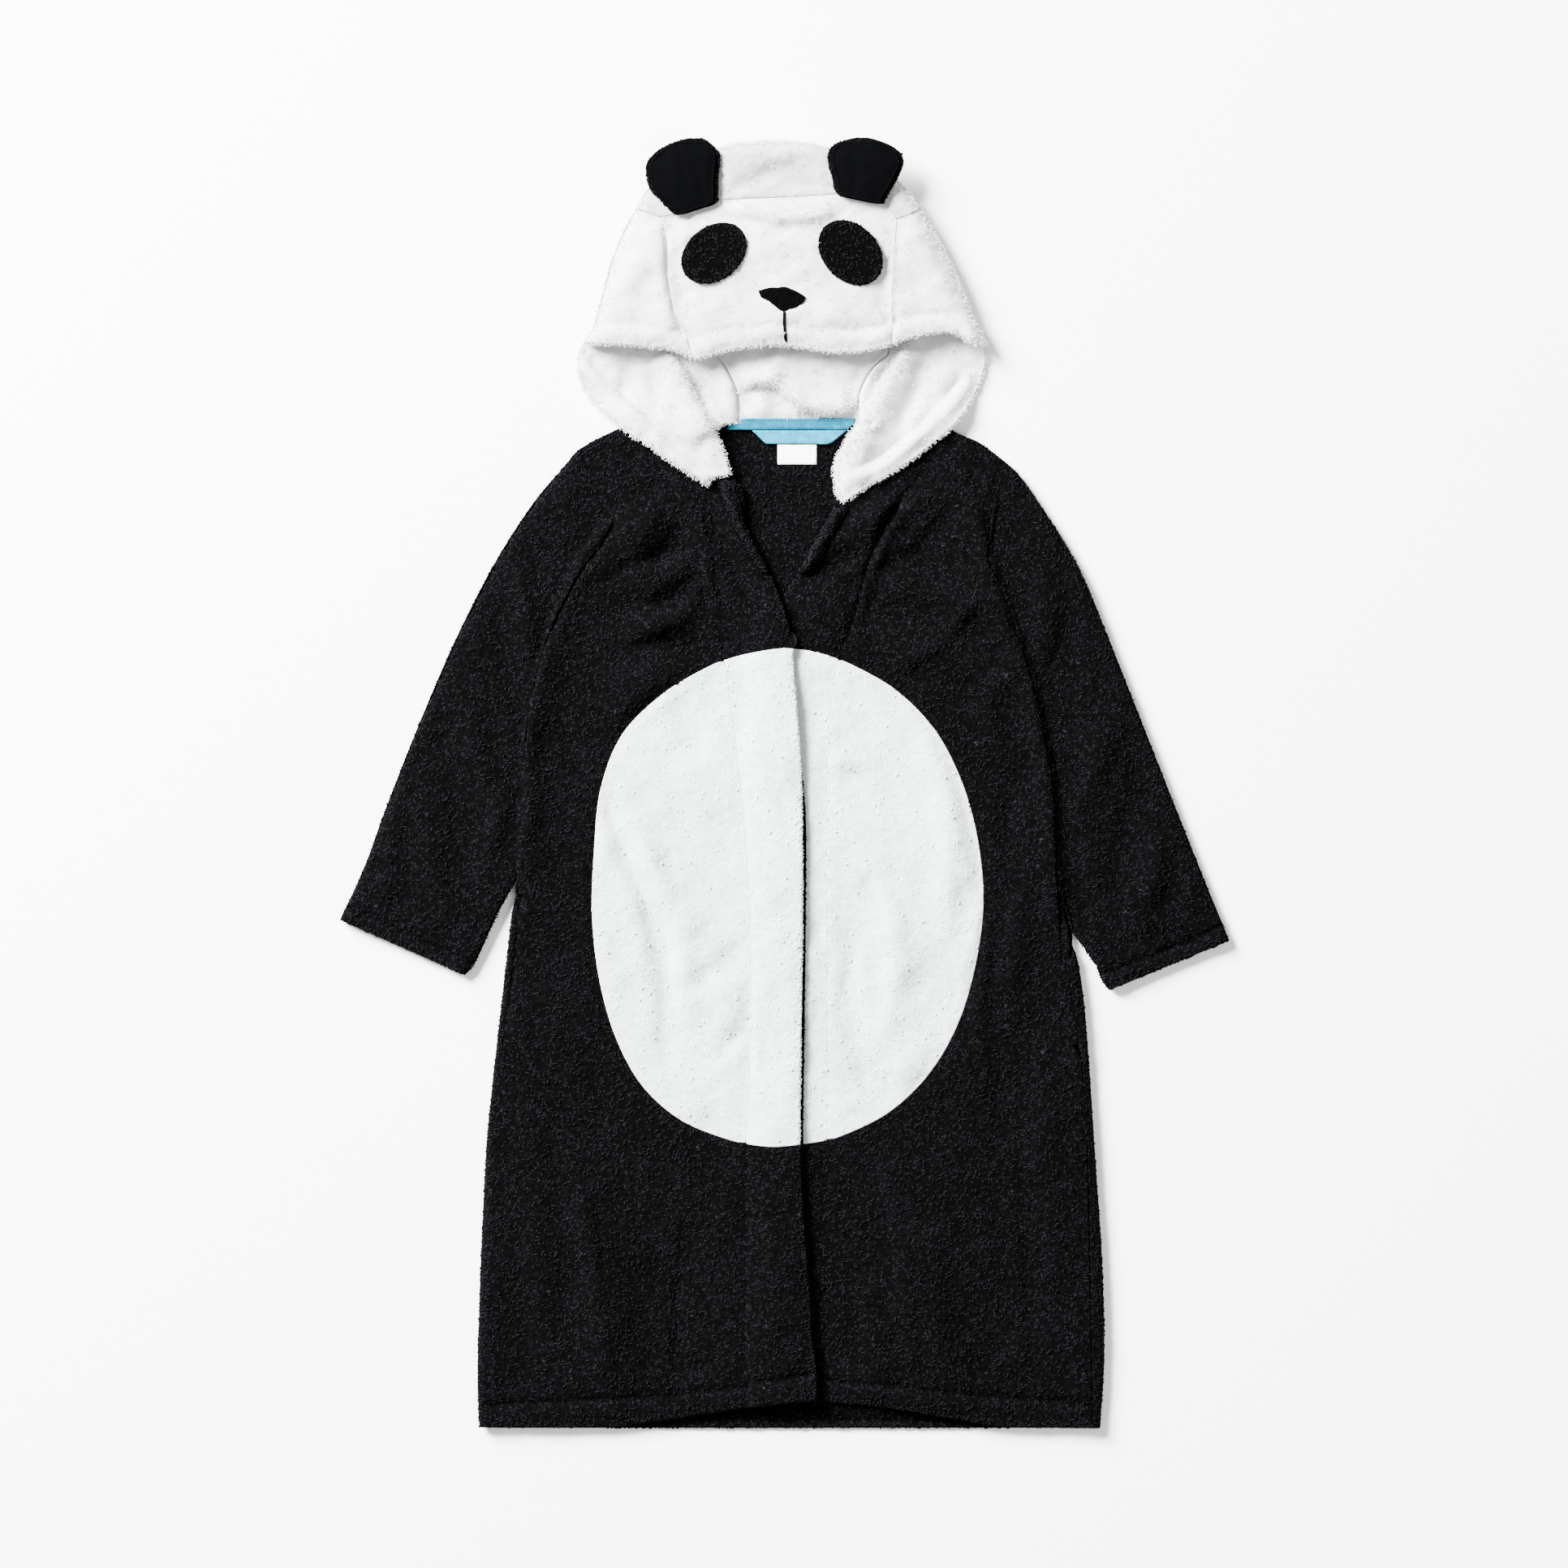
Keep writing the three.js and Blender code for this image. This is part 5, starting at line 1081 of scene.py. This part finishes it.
def sewn(seam):
    # a row of stitches on the cloth along each path
    spots, edges = [], []
    for path in seam["paths"]:
        last = None
        for x, y in spread(path, 1.5):
            heights = [z for z in (surfaceAt(node, x, y) for node in seam["nodes"]) if z is not None]
            if not heights:
                last = None
                continue
            spots.append((x, y, max(heights) + seam.get("lift", 0.1)))
            if last is not None:
                edges.append((last, len(spots) - 1))
            last = len(spots) - 1
    mesh = bpy.data.meshes.new(seam["name"])
    mesh.from_pydata((np.array(spots) * mm).tolist(), edges, [])
    line = bpy.data.objects.new(seam["name"] + "Line", mesh)
    bpy.context.scene.collection.objects.link(line)
    made = grown(line, stitches, {
        "Pitch": seam["pitch"] * mm, "Length": seam["long"] / 2 * mm, "Radius": seam["radius"] * mm,
        "Turn": math.radians(seam.get("turn", 0)), "Thread": seam["thread"],
    }, seam["name"])
    bpy.data.objects.remove(line)
    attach(made, "root")
    print(f"{seam['name']}: {len(made.data.polygons)} faces")


def ringIn(node, inset):
    # the outline of a piece, drawn in from its edge and closed
    loop = smoothLoop(sideOf(node, 1, -1, 99, -999)[1], 2.0)
    ring = loop + inwardOf(loop) * inset
    return [tuple(p) for p in np.concatenate([ring, ring[:1]])]


blackSeam = {"pitch": 3.2, "long": 2.4, "radius": 0.28, "thread": blackThread, "slot": "black_fleece"}
plushSeam = {"pitch": 3.2, "long": 2.3, "radius": 0.25, "thread": whiteThread, "slot": "white_plush"}
patchSeam = dict(blackSeam, pitch=2.6, long=1.9, radius=0.25)
tapeSeam = {"pitch": 2.8, "long": 2.1, "radius": 0.2, "thread": blueThread, "slot": "turquoise_twill"}
leftHem = ["front_left", "band_left_lower"]
sewn(dict(blackSeam, name="hemStitches", nodes=leftHem, paths=[leftHemLine]))
rightHem = ["front_right", "band_right_lower"]
sewn(dict(blackSeam, name="hemStitchesRight", nodes=rightHem, paths=[rightHemLine]))
sleeves = ["sleeve_left", "sleeve_right"]
sewn(dict(blackSeam, name="cuffStitches", nodes=sleeves, paths=list(cuffLines.values())))
hoodSides = ["hood_side_left", "hood_side_right"]
sewn(dict(plushSeam, name="rimStitches", nodes=["hood_face", *hoodSides], paths=[rimLine]))
sewn(dict(plushSeam, name="wingStitches", nodes=hoodSides, paths=list(wingLines.values())))
patchPaths = [ringIn("eye_left", 2.2), ringIn("eye_right", 2.2), ringIn("nose", 1.6)]
sewn(dict(patchSeam, name="patchStitches", nodes=["eye_left", "eye_right", "nose"], paths=patchPaths))
tapePaths = [[(-31, 268.6), (52, 268.6)], [(-31, 263.2), (48, 263.2)]]
sewn(dict(tapeSeam, name="tapeStitches", nodes=["neck_tape"], paths=tapePaths))
mouthPath = [(0.4, 352), (0.2, 340), (0.8, 331), (1.4, 325.6)]
mouthPaths = [[(x + side, y + abs(side)) for x, y in mouthPath] for side in (-0.75, 0, 0.75)]
mouthSeam = dict(blackSeam, pitch=1.3, long=2.0, radius=0.52, lift=0.2)
sewn(dict(mouthSeam, name="mouth", nodes=["hood_face"], paths=mouthPaths))
print("stitches made")


def tuftMesh(name, tuft):
    # a few fine blades from one root
    dice = np.random.default_rng(tuft["seed"])
    spots, faces = [], []
    for k in range(tuft["blades"]):
        turn = 2 * math.pi * (k + dice.uniform(-0.3, 0.3)) / tuft["blades"]
        lean, high = dice.uniform(0.5, 1.0) * tuft["lean"], tuft["high"] * dice.uniform(0.7, 1.15)
        out = Vector((math.cos(turn), math.sin(turn), 0))
        side = Vector((-out.y, out.x, 0))
        curl = dice.uniform(-0.6, 0.6) * tuft["lean"]
        start = len(spots)
        for t, wide in ((0, 0.8), (0.55, 1.0), (1, 0.3)):
            rise = Vector((0, 0, high * math.sin(t * 1.9)))
            spot = out * (0.15 + lean * t ** 1.6) + side * curl * t * t + rise
            for way in (-0.5, 0.5):
                spots.append(tuple(spot + side * way * wide * tuft["wide"]))
        faces += [(start + s, start + s + 1, start + s + 3, start + s + 2) for s in (0, 2)]
    mesh = bpy.data.meshes.new(name)
    mesh.from_pydata((np.array(spots) * mm).tolist(), [], faces)
    return bpy.data.objects.new(name, mesh)


def curlMesh(name, curl):
    # a short bent curl of pile that lies on the cloth, pointed at both ends
    spots, faces = [], []
    for t, wide, high in ((-1, 0, 0), (-0.4, 0.9, 0.85), (0.4, 1, 1), (1, 0, 0.2)):
        x, y = t * curl["long"] / 2, curl["bow"] * t * t
        lift = high * curl["high"]
        if wide:
            spots += [(x, y - wide * curl["wide"] / 2, 0), (x, y, lift), (x, y + wide * curl["wide"] / 2, 0)]
        else:
            spots.append((x, y, lift))
    faces = [(0, 1, 2), (0, 2, 3), (1, 4, 5, 2), (2, 5, 6, 3), (4, 7, 5), (5, 7, 6)]
    mesh = bpy.data.meshes.new(name)
    mesh.from_pydata((np.array(spots) * mm).tolist(), [], faces)
    mesh.polygons.foreach_set("use_smooth", [True] * len(mesh.polygons))
    return bpy.data.objects.new(name, mesh)


randomLow, randomHigh, randomValue = 2, 3, 1  # the places of a random number's sockets for plain numbers


def pileTree():
    tree, given, result = newTree("pile", [
        ("Tuft", "NodeSocketObject"), ("Apart", "NodeSocketFloat"), ("Most", "NodeSocketFloat"),
        ("Least Size", "NodeSocketFloat"), ("Most Size", "NodeSocketFloat"), ("Tilt", "NodeSocketFloat"),
        ("Pile", "NodeSocketMaterial"),
    ])
    add = tree.nodes.new
    share = add("GeometryNodeInputNamedAttribute")
    share.data_type = "FLOAT"
    share.inputs["Name"].default_value = "fuzz"
    scatter = add("GeometryNodeDistributePointsOnFaces")
    scatter.distribute_method = "POISSON"
    scatter.inputs["Seed"].default_value = 5
    tuft = add("GeometryNodeObjectInfo")
    tuft.inputs["As Instance"].default_value = True
    spin = add("FunctionNodeRandomValue")
    spin.data_type = "FLOAT"
    spin.inputs[randomLow].default_value = -math.pi
    spin.inputs[randomHigh].default_value = math.pi
    lean = add("FunctionNodeRandomValue")
    lean.data_type = "FLOAT"
    lean.inputs["Seed"].default_value = 2
    back = add("ShaderNodeMath")
    back.operation = "MULTIPLY"
    back.inputs[1].default_value = -1.0
    angles = add("ShaderNodeCombineXYZ")
    euler = add("FunctionNodeEulerToRotation")
    turned = add("FunctionNodeRotateRotation")
    turned.rotation_space = "LOCAL"
    size = add("FunctionNodeRandomValue")
    size.data_type = "FLOAT"
    size.inputs["Seed"].default_value = 3
    place = add("GeometryNodeInstanceOnPoints")
    real = add("GeometryNodeRealizeInstances")
    paint = add("GeometryNodeSetMaterial")
    wire(tree, [
        (given, "Geometry", scatter, "Mesh"),
        (share, "Attribute", scatter, "Density Factor"),
        (given, "Apart", scatter, "Distance Min"),
        (given, "Most", scatter, "Density Max"),
        (given, "Tuft", tuft, "Object"),
        (given, "Tilt", back, 0),
        (back, "Value", lean, randomLow),
        (given, "Tilt", lean, randomHigh),
        (lean, randomValue, angles, "X"),
        (spin, randomValue, angles, "Z"),
        (angles, "Vector", euler, "Euler"),
        (scatter, "Rotation", turned, "Rotation"),
        (euler, "Rotation", turned, "Rotate By"),
        (given, "Least Size", size, randomLow),
        (given, "Most Size", size, randomHigh),
        (scatter, "Points", place, "Points"),
        (tuft, "Geometry", place, "Instance"),
        (turned, "Rotation", place, "Rotation"),
        (size, randomValue, place, "Scale"),
        (place, "Instances", real, "Geometry"),
        (real, "Geometry", paint, "Geometry"),
        (given, "Pile", paint, "Material"),
        (paint, "Geometry", result, "Geometry"),
    ])
    return tree


pile = pileTree()
mostTufts = 1.6e6  # on a square metre, for tufts one millimetre apart


def covered(coat):
    # pile over each of a coat's pieces, thick where their fuzz is high
    tuft = (curlMesh if "bow" in coat["tuft"] else tuftMesh)(coat["name"] + "Tuft", coat["tuft"])
    bpy.context.scene.collection.objects.link(tuft)
    total = 0
    for node in coat["nodes"]:
        name = shells[node].name + "Pile"
        made = grown(shells[node], pile, {
            "Tuft": tuft, "Apart": coat["apart"] * mm, "Most": mostTufts / coat["apart"] ** 2,
            "Least Size": 0.7, "Most Size": 1.3, "Tilt": coat["tilt"], "Pile": coat["material"],
        }, name)
        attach(made, "root")
        count = sum(len(face.vertices) - 2 for face in made.data.polygons)
        total += count
        print(f"{name}: {count} triangles")
    bpy.data.objects.remove(tuft)
    print(f"{coat['name']} pile: {total} triangles in all")


blackCoat = {
    "name": "black", "apart": 1.7, "tilt": 0.35, "material": blackPile, "slot": "black_fleece",
    "tuft": {"long": 2.8, "wide": 1.0, "high": 0.75, "bow": 0.6},
    "nodes": ["front_left", "front_right", "back", "band_left_upper", "band_left_lower", "band_right_upper",
              "band_right_lower", *sleeves, "placket_left", "placket_left_turned", "edge_right_turned",
              "pocket_right", "ear_left_back", "ear_right_back", "eye_left", "eye_right"],
}
whiteCoat = dict(blackCoat, name="white", material=whitePile, slot="white_fleece")
whiteCoat["nodes"] = ["tummy_left", "tummy_right", "band_left_middle", "band_right_middle"]
plushCoat = dict(blackCoat, name="plush", apart=1.1, tilt=0.5, material=plushPile, slot="white_plush")
plushCoat["tuft"] = {"seed": 6, "blades": 4, "lean": 1.5, "high": 2.1, "wide": 0.26}
plushCoat["nodes"] = ["hood_face", "hood_crown", *hoodSides, "hood_centre_back"]
for coat in (blackCoat, whiteCoat, plushCoat):
    covered(coat)
print("pile made")

# floor, light and camera

floorMaterial = plainMaterial("paper", (0.9, 0.9, 0.9), 0.9, 0.1)
bpy.ops.mesh.primitive_plane_add(size=6, location=(0, 0, -0.0002))  # a hair under the gown's flat back
floor = bpy.context.object
floor.name = "floor"
floor.data.materials.append(floorMaterial)

world = bpy.data.worlds.new("studio")
bpy.context.scene.world = world
world.use_nodes = True
background = world.node_tree.nodes["Background"]
background.inputs["Color"].default_value = (1, 1, 1, 1)
background.inputs["Strength"].default_value = 0.68

lamps = {
    "key": {"at": (-3.3, 2.9, 2.5), "size": 2.3, "power": 5020},
    "fill": {"at": (1.6, -0.9, 2.4), "size": 2.2, "power": 60},
}
for name, lamp in lamps.items():
    light = bpy.data.lights.new(name, "AREA")
    light.size = lamp["size"]
    light.energy = lamp["power"]
    holder = bpy.data.objects.new(name, light)
    holder.location = lamp["at"]
    holder.rotation_euler = (-Vector(lamp["at"])).to_track_quat("-Z", "Y").to_euler()
    bpy.context.scene.collection.objects.link(holder)

camera = bpy.data.objects.new("camera", bpy.data.cameras.new("camera"))
camera.data.sensor_width = 36
camera.data.lens = 186.3  # from 6 m it shows 1159 mm of the surface
camera.location = (0, 0, 6)
bpy.context.scene.collection.objects.link(camera)
bpy.context.scene.camera = camera
